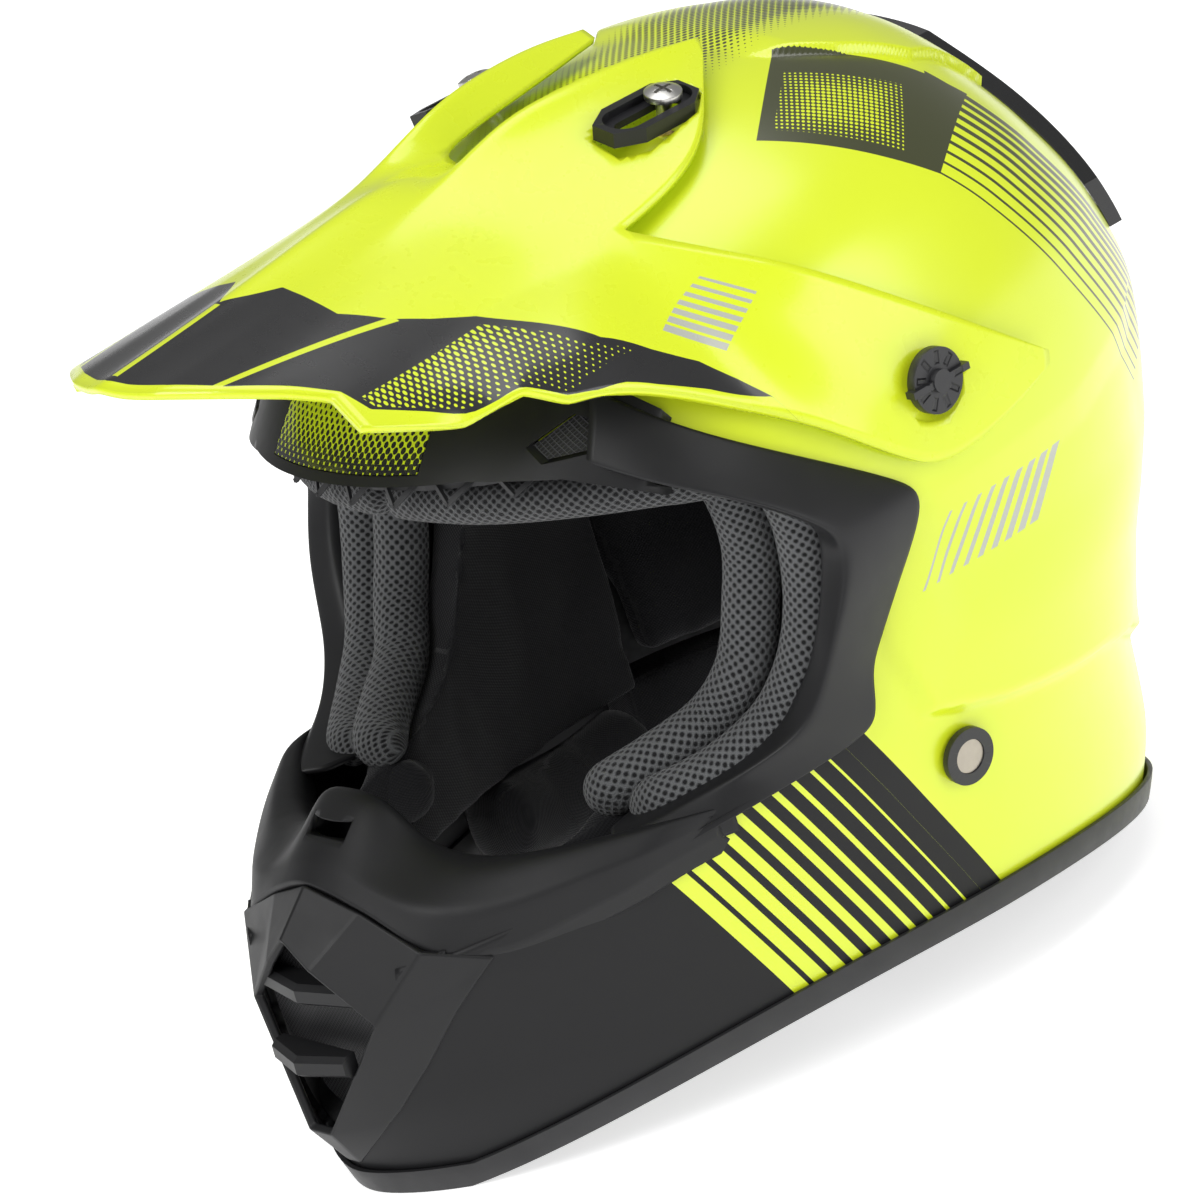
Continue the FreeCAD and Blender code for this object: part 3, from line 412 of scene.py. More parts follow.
def knitted(name, colour):
    """Dark knitted lining with fine ribs."""
    p = Paint(name)
    u, v = p.fabric()
    ribs = p.math("SINE", p.mul(u, 2 * math.pi / 1.4))
    rows = p.math("SINE", p.mul(v, 2 * math.pi / 1.1))
    weave = p.math("MULTIPLY_ADD", p.mul(ribs, rows), 0.5, 0.5)
    p.set("Base Color", p.mix(weave, shade(colour, 0.6), shade(colour, 1.2)))
    p.set("Roughness", 0.95)
    p.set("Sheen Weight", 0.2)
    p.set("Specular IOR Level", 0.15)
    p.bump(weave, 0.6, 0.3)
    return p.mat


def webbing(name):
    """Woven strap: a twill of small ribs along its length."""
    p = Paint(name)
    twill = p.math("SINE", p.mul(p.add(p.y, p.mul(p.x, 0.5)), 2 * math.pi / 1.5))
    rows = p.math("SINE", p.mul(p.x, 2 * math.pi / 1.2))
    weave = p.math("MULTIPLY_ADD", p.add(twill, rows), 0.25, 0.5)
    p.set("Base Color", p.mix(weave, (0.010, 0.010, 0.011), (0.038, 0.038, 0.041)))
    p.set("Roughness", 0.72)
    p.set("Sheen Weight", 0.15)
    p.bump(weave, 0.8, 0.35)
    return p.mat


def wire_mesh(name):
    """Black expanded mesh: a lattice with openings painted near-black, the painted shade seen through them.
    """
    p = Paint(name)
    a = p.math("ABSOLUTE", p.math("SINE", p.mul(p.add(p.x, p.z), math.pi / 1.5)))
    b = p.math("ABSOLUTE", p.math("SINE", p.mul(p.sub(p.x, p.z), math.pi / 1.5)))
    lattice = p.math("MINIMUM", a, b)
    wires = p.ramp(lattice, 0.55, 0.25)
    # The openings get near-black: painted shade where the mesh would let one see into the dark vent behind
    # it.
    p.set("Base Color", p.mix(wires, (0.002, 0.002, 0.002), (0.05, 0.05, 0.054)))
    p.set("Roughness", 0.5)
    p.bump(wires, 0.8, 0.4)
    return p.mat


def bead_foam(name):
    p = Paint(name)
    cells = p.tree.nodes.new("ShaderNodeTexVoronoi")
    cells.inputs["Scale"].default_value = 1 / 3.2
    p.link(p.pos, cells.inputs["Vector"])
    d = cells.outputs["Distance"]
    p.set("Base Color", p.mix(d, (0.035, 0.035, 0.037), (0.016, 0.016, 0.017)))
    p.set("Roughness", 0.9)
    p.bump(d, 0.4, 0.3)
    return p.mat


CROWN_CENTRE, CROWN_RADIUS = 120.0, 165.0       # circle that suits the crown's curve across


def crown_height(p):
    """Length round the crown from its ridge."""
    return p.mul(p.math("ARCTAN2", p.side(), p.sub(p.z, CROWN_CENTRE)), CROWN_RADIUS)


CHIN_LINE, CHIN_TOP = (0.565, 39.0), 106.0      # slope and start of the black chin's edge, and its top
STRIPE_RUN = (-69.5, 7.05, 10, 5.3, 0.9)        # start, pitch, count, first and last widths
SIDE_BAR_RUN = (0.5, 6.1, 9, 1.2, 4.2)
SIDE_BAR_LOW, SIDE_BAR_HIGH = 140.0, 158.4
CROWN_RUN = (0.0, 5.0, 10, 0.8, 3.4)
CROWN_RUN_LENGTH = 112.0
CROWN_PATCH = [(67, 109), (27, 67.7), (64, 39.5), (109, 81.8)]   # y, and length round the crown
CROWN_PANEL = [(62, 97), (34, 68), (58, 50), (84, 75)]
CHIN_BLACK = (0.013, 0.013, 0.014)


def shell_paint():
    """Hi-vis lacquer with its graphics: black chin, stripes, side bars, crown patch and dots, and a faint
    painted glow on the yellow.
    """
    p = Paint("shell_lacquer")
    slope, start = CHIN_LINE
    slant = p.plane(p.y, p.z, 1.0, slope, -slope * start)
    chin = p.both(p.crisp(p.sub(9.0, slant)), p.crisp(p.sub(CHIN_TOP, p.z)))
    stripes = p.crisp(p.bars(slant, *STRIPE_RUN))
    lean = p.plane(p.y, p.z, 1.0, -1.0, SIDE_BAR_LOW)
    side_bars = p.both(p.bars(lean, *SIDE_BAR_RUN), p.sub(p.z, SIDE_BAR_LOW), p.sub(SIDE_BAR_HIGH, p.z))
    lift = crown_height(p)
    colour = p.mix(p.ramp(p.noise(60.0, 2.0), 0.3, 0.7), YELLOW, shade(YELLOW, 0.97))
    # Crown dots, larger towards the rear and the middle.
    size = p.math("MULTIPLY_ADD", p.y, 0.0062, 0.42)
    size = p.mul(size, p.ramp(p.side(), 36.0, 20.0))
    dots = p.crisp(p.dots(p.x, p.y, 3.0, size))
    band = p.both(p.crisp(p.sub(34.0, p.side())), p.crisp(p.sub(p.z, 240.0)))
    colour = p.mix(p.both(dots, band), colour, BLACK)
    colour = p.mix(p.crisp(p.polygon(p.y, lift, CROWN_PATCH)), colour, BLACK)
    inner = p.polygon(p.y, lift, CROWN_PANEL)
    spot = p.math("MULTIPLY_ADD", p.math("MINIMUM", inner, 9.0), 0.03, 0.36)
    halftone = p.both(p.crisp(inner), p.crisp(p.dots(p.y, lift, 2.3, spot)))
    colour = p.mix(halftone, colour, YELLOW)
    (corner_y, corner_lift) = CROWN_PATCH[0]
    along = p.plane(p.y, lift, 0.763, 0.646, -(0.763 * corner_y + 0.646 * corner_lift))
    across = p.plane(p.y, lift, 0.840, -0.543, -(0.840 * corner_y - 0.543 * corner_lift))
    lines = p.both(p.bars(across, *CROWN_RUN), along, p.sub(CROWN_RUN_LENGTH, along))
    colour = p.mix(p.crisp(lines), colour, BLACK)
    colour = p.mix(p.crisp(side_bars), colour, GREY)
    black = p.math("SUBTRACT", chin, stripes, clamp=True)
    colour = p.mix(black, colour, CHIN_BLACK)
    p.set("Base Color", colour)
    matt = p.noise(8.0, 3.0)
    p.set("Roughness", p.blend_value(black, p.blend_value(matt, 0.26, 0.34), p.blend_value(matt, 0.40, 0.50)))
    p.set("Specular IOR Level", p.blend_value(black, 0.5, 0.22))
    p.set("Coat Weight", p.blend_value(black, 0.6, 0.0))
    p.set("Coat Roughness", 0.2)
    # Painted glow: the yellow lacquer emits a little light of its own, brightening it as if more strongly
    # lit; the black chin gets none.
    p.set("Emission Color", YELLOW)
    p.set("Emission Strength", p.blend_value(black, 0.05, 0.0))
    p.bump(p.noise(3.5, 1.0), 0.05, 0.05)
    return p.mat


KNOB_AXIS, KNOB_DIMPLES = (21.5, 201.0), 9      # (y, z) of the thumb knobs' axis
VISOR_REACH = 120.0          # |x| that the visor's graphics are laid out over
# Edges of the visor's black band, as |x| and y.
BAND_REAR = [(0, -133), (5, -126), (11, -117.5), (34.5, -118), (46, -108.5), (52, -99), (58, -87),
             (71.5, -75.5), (84.5, -65), (91, -53), (96, -41), (102, -33.5), (108, -27), (120, -20)]
BAND_FRONT = [(0, -179), (8, -177), (20, -172.5), (35, -163.5), (48, -150.5), (57, -141), (65, -138),
              (71.5, -123.5), (77.5, -112), (81, -104.5), (83.5, -98), (87, -92), (90, -87), (93.5, -77.5),
              (95, -69), (98, -59), (101.5, -44.5), (105.5, -33.5), (108, -27), (120, -20)]
DEPTH_RANGE = (-200.0, 0.0)  # y values that the layout curves cover


def visor_paint():
    """Hi-vis plastic with a black band behind the lip, thin stripes, dots and grey bars, and a faint painted
    glow on the yellow.
    """
    p = Paint("visor_lacquer")
    side = p.side()
    span = DEPTH_RANGE[1] - DEPTH_RANGE[0]
    share = p.mul(side, 1 / VISOR_REACH)

    def depth_at(line):
        value = p.curve(share, [(x / VISOR_REACH, (y - DEPTH_RANGE[0]) / span) for x, y in line])
        return p.math("MULTIPLY_ADD", value, span, DEPTH_RANGE[0])

    front = p.sub(p.y, depth_at(BAND_FRONT))
    rear = p.sub(depth_at(BAND_REAR), p.y)
    outside = p.edge(p.y, p.z, (-200, 205), (0, 205))
    band = p.both(front, rear, outside)
    colour = p.mix(p.crisp(band, 0.2), YELLOW, BLACK)
    middle = p.both(p.sub(1.3, side), p.sub(p.y, -176.0), p.sub(-134.0, p.y))
    slanted = p.math("MULTIPLY_ADD", p.y, 0.243, 72.8)
    slanted = p.both(p.sub(1.1, p.math("ABSOLUTE", p.sub(side, slanted))), p.sub(-107.0, p.y), front)
    colour = p.mix(p.crisp(p.either(middle, slanted), 0.2), colour, YELLOW)
    zone = p.both(p.sub(side, 61.0), p.sub(front, 2.0), p.sub(rear, 4.0), p.sub(90.0, side))
    spot = p.math("MULTIPLY_ADD", p.math("MINIMUM", p.sub(92.0, side), 30.0), 0.014, 0.22)
    dots = p.both(p.crisp(p.dots(p.y, p.z, 2.5, spot)), p.crisp(zone))
    colour = p.mix(dots, colour, YELLOW)
    along = p.plane(p.y, p.z, -0.646, -0.763, 176.3)
    strip = p.polygon(p.y, p.z, [(-12.7, 242), (-22.6, 250), (-45.2, 242), (-31.6, 230)])
    bars = p.both(p.bars(along, 0.0, 3.0, 7, 1.0, 2.3), strip)
    colour = p.mix(p.both(p.crisp(bars), p.crisp(p.sub(side, 60.0))), colour, GREY)
    p.set("Base Color", colour)
    p.set("Roughness", p.blend_value(p.noise(7.0, 3.0), 0.24, 0.32))
    p.set("Coat Weight", 0.35)
    p.set("Coat Roughness", 0.12)
    # Painted glow: the yellow emits a little light of its own, brightening it as if more strongly lit; the
    # black band gets none.
    p.set("Emission Color", YELLOW)
    p.set("Emission Strength", p.blend_value(p.crisp(band), 0.05, 0.0))
    p.bump(p.noise(2.5, 2.0), 0.06, 0.04)
    return p.mat


def brow_paint():
    """Hi-vis panel with black dots that thin out upwards."""
    p = Paint("brow_lacquer", Roughness=0.25)
    size = p.math("MULTIPLY_ADD", p.z, -0.045, 10.9)
    dots = p.crisp(p.dots(p.x, p.z, 2.8, size))
    p.set("Base Color", p.mix(dots, YELLOW, BLACK))
    p.set("Coat Weight", 0.5)
    p.bump(p.noise(2.5, 2.0), 0.06, 0.04)
    return p.mat


def knob_paint():
    """Black plastic of the small fittings; the thumb knobs carry a ring of dimples round their axis, painted
    darker inside as shade.
    """
    p = Paint("knob_black")
    u, v = p.sub(p.y, KNOB_AXIS[0]), p.sub(p.z, KNOB_AXIS[1])
    reach = p.math("SQRT", p.add(p.mul(u, u), p.mul(v, v)))
    turn = p.math("MULTIPLY_ADD", p.math("ARCTAN2", v, u), KNOB_DIMPLES / (2 * math.pi), 0.5)
    swing = p.mul(p.math("ABSOLUTE", p.sub(p.math("FRACT", turn), 0.5)), 2 * math.pi / KNOB_DIMPLES)
    dimple = p.both(p.sub(0.9, p.mul(swing, reach)), p.sub(1.9, p.math("ABSOLUTE", p.sub(reach, 7.2))))
    pressed = p.ramp(dimple, -0.25, 0.35)
    # The dimples are painted darker than the face round them: painted shade in the hollows.
    p.set("Base Color", p.mix(pressed, (0.016, 0.016, 0.018), (0.006, 0.006, 0.007)))
    p.set("Roughness", p.blend_value(p.noise(5.0, 3.0), 0.36, 0.46))
    p.bump(p.mul(pressed, -1.0), 1.0, 0.7)
    return p.mat


# ---- materials on the CAD nodes ------------------------------------------------------------------
shell_mat = shell_paint()
visor_mat = visor_paint()
brow_mat = brow_paint()
shell_inner_mat = matt_plastic("shell_inner", (0.02, 0.02, 0.022), 0.6)
surround_mat = matt_plastic("surround_black", (0.014, 0.014, 0.015), 0.42)
guard_soft_mat = matt_plastic("guard_black", (0.012, 0.012, 0.013), 0.48)
guard_mat = rubber("guard_rubber", 0.5)
trim_mat = rubber("trim_rubber", 0.45)
spoiler_mat = gloss_plastic("spoiler_black", (0.012, 0.012, 0.013), 0.1)
bezel_mat = matt_plastic("bezel_black", (0.016, 0.016, 0.018), 0.35, 0.3)
knob_mat = knob_paint()
foam_mat = bead_foam("bead_foam")
# The second colour of each mesh is the painted shade in its holes.
pad_mat = spacer_mesh("pad_mesh", (0.17, 0.175, 0.18), (0.010, 0.010, 0.011))
band_mat = spacer_mesh("band_mesh", (0.12, 0.123, 0.127), (0.008, 0.008, 0.009), 2.9)
lining_mat = knitted("dark_lining", (0.018, 0.018, 0.020))
web_mat = webbing("strap_webbing")
wire_mat = wire_mesh("vent_mesh")
steel_mat = metal("steel", (0.60, 0.60, 0.61), 0.3)
screw_mat = metal("screw_steel", (0.62, 0.61, 0.58), 0.32)
cap_mat = metal("snap_cap", (0.42, 0.38, 0.33), 0.35)
brass_mat = metal("brass", (0.72, 0.52, 0.2), 0.3)
red_mat = gloss_plastic("stud_red", (0.45, 0.02, 0.02), 0.25)

node_materials = {
    "outer_shell": shell_mat, "eyeport_surround": surround_mat, "brow_vent_mesh": wire_mat,
    "brow_panel": brow_mat, "brow_gasket": guard_mat, "nose_guard": guard_mat,
    "mouth_vent_cover": surround_mat, "mouth_vent_bars": surround_mat, "mouth_vent_mesh": wire_mat,
    "edge_trim": trim_mat, "rear_spoiler": spoiler_mat, "rear_vent_mesh": wire_mat,
    "eps_crown_liner": foam_mat, "eps_chin_liner": foam_mat, "cheek_snap_studs": steel_mat,
    "crown_pad": lining_mat, "forehead_band": band_mat, "neck_roll": lining_mat,
    "visor_peak": visor_mat, "top_inserts": brass_mat, "pivot_inserts": brass_mat,
    "strap_short": web_mat, "strap_ring_loop": web_mat, "strap_long": web_mat, "strap_keeper": red_mat,
    "strap_eyelets": steel_mat, "strap_hangers": steel_mat, "d_ring_upper": steel_mat,
    "d_ring_lower": steel_mat,
}
for side in ("left", "right"):
    node_materials.update({
        "cheek_block_" + side: foam_mat, "cheek_plate_" + side: knob_mat, "cheek_pad_" + side: pad_mat,
        "top_bezel_" + side: bezel_mat, "top_screw_" + side: screw_mat, "side_knob_" + side: knob_mat,
        "snap_ring_" + side: knob_mat, "snap_disc_" + side: cap_mat,
    })
for name, material in node_materials.items():
    mesh = nodes[name].data
    mesh.materials.clear()
    mesh.materials.append(material)
ROUNDED = {"mouth_vent_bars": 0.7, "top_bezel_left": 0.6, "top_bezel_right": 0.6, "side_knob_left": 0.4,
           "side_knob_right": 0.4, "snap_ring_left": 0.5, "snap_ring_right": 0.5, "edge_trim": 0.6,
           "rear_spoiler": 0.9, "top_screw_left": 0.25, "top_screw_right": 0.25}
for name, radius in ROUNDED.items():
    weld = nodes[name].modifiers.new("joined", "WELD")
    weld.merge_threshold = 0.005 * MM
    edge = nodes[name].modifiers.new("edges", "BEVEL")
    edge.width, edge.segments = radius * MM, 2
    edge.limit_method, edge.angle_limit = "ANGLE", math.radians(28)
    edge.harden_normals = True


# ---- tools for building pieces -------------------------------------------------------------------
def add_object(name, data):
    made = bpy.data.objects.new(name, data)
    bpy.context.scene.collection.objects.link(made)
    return made


def new_object(name, points, faces):
    """A smooth-shaded mesh object from points in mm."""
    mesh = bpy.data.meshes.new(name)
    mesh.from_pydata([tuple(MM * float(c) for c in p) for p in points], [], faces)
    mesh.validate()
    mesh.polygons.foreach_set("use_smooth", [True] * len(mesh.polygons))
    return add_object(name, mesh)


def bake(piece):
    """Give the piece the mesh that its modifiers make."""
    mesh = bpy.data.meshes.new_from_object(piece.evaluated_get(bpy.context.evaluated_depsgraph_get()))
    piece.modifiers.clear()
    piece.data = mesh


def fit_out(piece, material, body="helmet", stands_for=()):
    """Give a piece its material and body, and hide the CAD nodes that it stands for."""
    if len(piece.data.materials) == 0:
        piece.data.materials.append(material)
    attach(piece, body)
    if stands_for:
        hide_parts(*stands_for)
    return piece


def grid_faces(rows, columns, closed=False):
    """Quads of a grid of points laid out row by row; closed joins the last column to the first."""
    width = columns if closed else columns - 1
    return [(i * columns + j, i * columns + (j + 1) % columns,
             (i + 1) * columns + (j + 1) % columns, (i + 1) * columns + j)
            for i in range(rows - 1) for j in range(width)]


def mirror_x(points):
    """The same points on the wearer's other side."""
    return [(-p[0], p[1], p[2]) for p in points]


def subdivide(piece, levels=2):
    m = piece.modifiers.new("smooth", "SUBSURF")
    m.levels = m.render_levels = levels
    m.boundary_smooth = "PRESERVE_CORNERS"
    return m


def thicken(piece, thickness, offset=-1.0, inner_material=0):
    m = piece.modifiers.new("wall", "SOLIDIFY")
    m.thickness, m.offset = thickness * MM, offset
    m.use_even_offset = False
    m.material_offset = inner_material
    return m


def crease(piece, pairs, sharpness=1.0):
    """Crease the edges between the given pairs of points."""
    layers = piece.data.attributes
    layer = layers.get("crease_edge") or layers.new("crease_edge", "FLOAT", "EDGE")
    wanted = {tuple(sorted(pair)) for pair in pairs}
    for edge in piece.data.edges:
        if tuple(sorted(edge.vertices)) in wanted:
            layer.data[edge.index].value = sharpness


def face_out(piece, middle=(0.0, 0.0, 150.0)):
    """Turn the faces of an open sheet so that they look away from a point in mm."""
    mesh = bmesh.new()
    mesh.from_mesh(piece.data)
    bmesh.ops.recalc_face_normals(mesh, faces=mesh.faces)
    centre = Vector(middle) * MM
    vote = sum((f.calc_center_median() - centre).dot(f.normal) * f.calc_area() for f in mesh.faces)
    if vote < 0:
        bmesh.ops.reverse_faces(mesh, faces=mesh.faces)
    mesh.to_mesh(piece.data)
    mesh.free()


def cut_with(piece, cutter):
    """Cut a closed cutter out of the piece, and delete the cutter."""
    m = piece.modifiers.new("cut", "BOOLEAN")
    m.operation, m.solver, m.object = "DIFFERENCE", "EXACT", cutter
    bpy.context.view_layer.update()
    bake(piece)
    bpy.data.objects.remove(cutter)


def cylinder(radius, start, end, count=48):
    """A closed cylinder between two points in mm."""
    start, end = Vector(start), Vector(end)
    axis = (end - start).normalized()
    u = axis.orthogonal().normalized()
    v = axis.cross(u)
    points = [p + (u * math.cos(a) + v * math.sin(a)) * radius
              for p in (start, end) for a in (2 * math.pi * k / count for k in range(count))]
    faces = [(k, (k + 1) % count, count + (k + 1) % count, count + k) for k in range(count)]
    faces += [tuple(range(count))[::-1], tuple(range(count, 2 * count))]
    piece = new_object("cutter", points, faces)
    face_out(piece, (start + end) / 2)
    return piece


def hull_of(node, grow, below):
    """A closed hull round a CAD node: grown a little, and drawn out along a direction in mm."""
    box_low, box_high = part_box(node)
    centre = (box_low + box_high) / 2
    mesh = bmesh.new()
    for v in nodes[node].data.vertices:
        p = centre + (v.co - centre) * grow
        mesh.verts.new(p)
        mesh.verts.new(p + Vector(below) * MM)
    made = bmesh.ops.convex_hull(mesh, input=mesh.verts)
    spare = {e for e in made["geom_interior"] + made["geom_unused"] if isinstance(e, bmesh.types.BMVert)}
    bmesh.ops.delete(mesh, geom=list(spare), context="VERTS")
    data = bpy.data.meshes.new("cutter")
    mesh.to_mesh(data)
    mesh.free()
    cutter = add_object("cutter", data)
    return cutter


def smoothstep(x, low, high):
    s = np.clip((x - low) / (high - low), 0, 1)
    return s * s * (3 - 2 * s)


# ---- shell ---------------------------------------------------------------------------------------
SHELL_WALL = 3.5
# Outlines in (y, z) or, for the mouth, (x, z).
PORT_CUT = [(-240, 216), (-99, 217), (-80, 214.5), (-54, 199), (-32, 184), (-19, 168), (-18.5, 159),
            (-33, 132), (-40, 111), (-55, 104.5), (-96, 95), (-140, 85), (-240, 64)]
MOUTH_CUT = [(0, 18), (14, 27), (28, 49), (35, 78), (36, 104), (-36, 104), (-35, 78), (-28, 49), (-14, 27)]
BULGE_LINE = [(-14, 132), (-4, 104), (23, 96.5), (51, 91), (76, 87), (100, 80),
              (118, 70), (150, 62), (200, 56)]
FACET_LINE = [(15, 166), (43, 168), (83, 169.5), (103, 174), (127, 176.5)]
CROWN_RIDGE = [(62, 38), (79, 52), (100, 63), (122, 60), (150, 58)]
BULGE, TUCK, CREASE_RUN = 3.0, -0.8, 5.0        # heights above and below the crease, and its width
FACET_DEPTH, RIDGE_RISE = 1.6, 3.0
SHELL_GRID, QUICK_GRID = (460, 230), (240, 120)   # columns round the shell and rows up it
RIM_LIFT = 1.5                                  # the skin starts this far above the rim
TOP_SHARE, ROW_BUNCHING = 0.999, 0.92           # where the last row is, and how rows crowd to the rim


def shell_relief(x, y, z):
    """Height of the shell's moulded creases above its plain surface."""
    d = distance_to_line(y, z, BULGE_LINE)
    above = BULGE * np.exp(-np.maximum(d, 0) / 38)
    below = TUCK * np.exp(-np.maximum(-d - CREASE_RUN, 0) / 28)
    ramp = smoothstep(d, -CREASE_RUN, 0.0)
    relief = (below + (above - below) * ramp) * smoothstep(y, -24, -4)
    facet = distance_to_line(y, z, FACET_LINE)
    facet = np.clip(-facet / 12, 0, 1) * smoothstep(z, 112, 140)
    facet = facet * smoothstep(y, 2, 16) * smoothstep(-y, -150, -128)
    relief = relief - FACET_DEPTH * facet * (z < 178)
    lift = CROWN_RADIUS * np.arctan2(np.abs(x), z - CROWN_CENTRE)
    d = distance_to_line(y, lift, CROWN_RIDGE)
    inner = RIDGE_RISE * smoothstep(-d, -1.6, 0.0) * (0.35 + 0.65 * np.clip(1 - np.maximum(-d, 0) / 34, 0, 1))
    return relief + inner * smoothstep(y, 56, 70) * smoothstep(-y, -166, -140)


def shell_points(angles, rows):
    """Rows of points from the rim up to the crown, at angles round the shell."""
    low = np.zeros_like(angles)
    for _ in range(6):
        y = surface(low, angles)[:, 1]
        z = rim_height(y, RIM_LIFT)
        low = np.where(z < BASE_LEVEL, (z - BASE_LEVEL) * 2 / (math.pi * SHELL_RISE), share_at(z))
    shares = np.linspace(0, 1, rows) ** ROW_BUNCHING
    t = low + (TOP_SHARE - low) * shares[:, None]
    base = surface(t, np.broadcast_to(angles, t.shape))
    du = np.gradient(base, axis=1)
    dv = np.gradient(base, axis=0)
    normal = np.cross(du, dv)
    normal /= np.maximum(np.linalg.norm(normal, axis=2, keepdims=True), 1e-9)
    return base + normal * shell_relief(*np.moveaxis(base, 2, 0))[..., None]


def make_shell():
    """The painted shell, open at the port, the mouth and the neck."""
    columns, rows = SHELL_GRID
    angles = np.arange(columns) * 2 * math.pi / columns + 1e-3
    grid = shell_points(angles, rows)
    middles = (grid[:-1] + grid[1:]) / 2
    middles = (middles + np.roll(middles, -1, axis=1)) / 2
    x, y, z = np.moveaxis(middles, 2, 0)
    gone = inside_outline(y, z, PORT_CUT) | (inside_outline(x, z, MOUTH_CUT) & (y < 0))
    faces = [f for f, cut in zip(grid_faces(rows, columns, closed=True), gone.ravel()) if not cut]
    top = len(grid.reshape(-1, 3))
    last = (rows - 1) * columns
    faces += [(last + k, last + (k + 1) % columns, top) for k in range(columns)]
    points = list(grid.reshape(-1, 3)) + [grid[-1].mean(axis=0)]
    shell = new_object("shell_skin", points, faces)
    mesh = bmesh.new()
    mesh.from_mesh(shell.data)
    bmesh.ops.delete(mesh, geom=[v for v in mesh.verts if not v.link_faces], context="VERTS")
    mesh.to_mesh(shell.data)
    mesh.free()
    face_out(shell)
    shell.data.materials.append(shell_mat)
    shell.data.materials.append(shell_inner_mat)
    thicken(shell, SHELL_WALL, inner_material=1)
    bake(shell)
    return fit_out(shell, shell_mat, stands_for=["outer_shell"])


make_shell()


# ---- visor ---------------------------------------------------------------------------------------
VISOR_WALL = 2.4
PIVOT_Y, PIVOT_Z = 21.5, 201.0
KNOB_SEAT_PROUD, KNOB_POCKET = 6.2, 12.8        # height of a knob's seat, radius of the pocket over it
BEZEL_HOLE_GROW, BEZEL_HOLE_DROP = 1.02, (0, 0, -6)
CREST_COLUMN, EDGE_COLUMN = 2, 5                # columns of the crests and outer edges, from the middle one
CREST_CREASE, FLAT_CREST_CREASE, EDGE_CREASE, MIDDLE_CREASE, CORNER_CREASE = 0.9, 0.45, 0.75, 0.35, 0.8


def on_side(y, z, proud):
    return (float(side_x(y, z)) + proud, y, z)


# Stations from the front lip to the rear tips; each runs outwards from the centre line.
VISOR_TOP = [
    [(0, -183, 275.5), (8, -181.5, 273.5), (20, -177.5, 273),
     (35, -168, 270.5), (48, -155, 266), (57, -144.5, 261)],
    [(0, -133.5, 281), (7.5, -131.5, 278.5), (20, -130, 277),
     (35, -126, 273.5), (48, -121, 268), (57.5, -116.5, 261)],
    [(0, -100, 286), (7, -99, 283.5), (20, -98, 280),
     (35, -96, 275.5), (48, -94, 268.5), (57.5, -92.5, 261.5)],
    [(0, -76, 289), (8, -75, 286.5), (18, -74, 284), (34, -71.5, 277.5), (48, -68, 270), (59, -64.5, 262.5)],
    [(0, -58, 290), (9.5, -57, 288.5), (17, -56, 287.5), (32, -54, 280), (47.5, -51, 271.5), (61, -47, 264)],
    [(0, -33, 284), (10, -33, 286), (17, -31, 297), (27, -31, 287), (45, -30, 277.5), (63, -30, 266)],
    [(0, -12, 285.5), (12, -12, 289), (20.5, -12, 299.5), (31, -11, 288), (46, -9, 281.5), (64.5, -8, 271)],
    [(0, 12, 289), (14, 12, 291), (23.5, 12, 299.5), (35, 12, 289), (46, 12, 284.5), (62, 10, 278.5)],
    [(0, 30, 290.5), (18, 30, 291.5), (25.5, 30, 298), (34, 30, 291.5), (40, 29, 289.5), (48, 27, 286.5)],
    [(0, 48, 292), (22, 48, 292.5), (26.5, 48, 295), (28, 47, 294.5), (30, 45.5, 293.5), (32.5, 43.5, 292.5)],
]
JOINED = 6                   # stations where the wing hangs from the plate's outer edge
# Stations down the wing; the first ones start one step below the plate's outer edge.
VISOR_WING = [
    [(62, -145, 257.5), (68.5, -145.5, 253)],
    [(68, -116, 252), (77, -115.5, 241)],
    [(72, -95, 254), (85, -98, 246)],
    [(79, -76, 253), (91, -87.5, 238)],
    [(84, -58, 252), (97, -69, 236)],
    [on_side(-36, 245, 7.0), on_side(-36, 215, 7.0)],
    [on_side(-17, 257, 6.6), on_side(-18, 234, 7.4), on_side(-19, 203, 6.8)],
    [on_side(-7, 250.5, 6.8), on_side(-7, 225, 7.6), on_side(-7, 192, 6.8)],
    [on_side(3.5, 243, 6.8), on_side(5, 214, 7.2), on_side(6.5, 181, 6.4)],
    [on_side(26.5, 224, 5.6), on_side(21.5, 201, 5.2), on_side(17, 175, 5.6)],
    [on_side(48.5, 206, 6.0), on_side(46, 193, 6.2), on_side(40, 178, 6.2)],
    [on_side(69.5, 190, 5.6), on_side(69, 188, 5.6), on_side(68, 186, 5.6)],
]


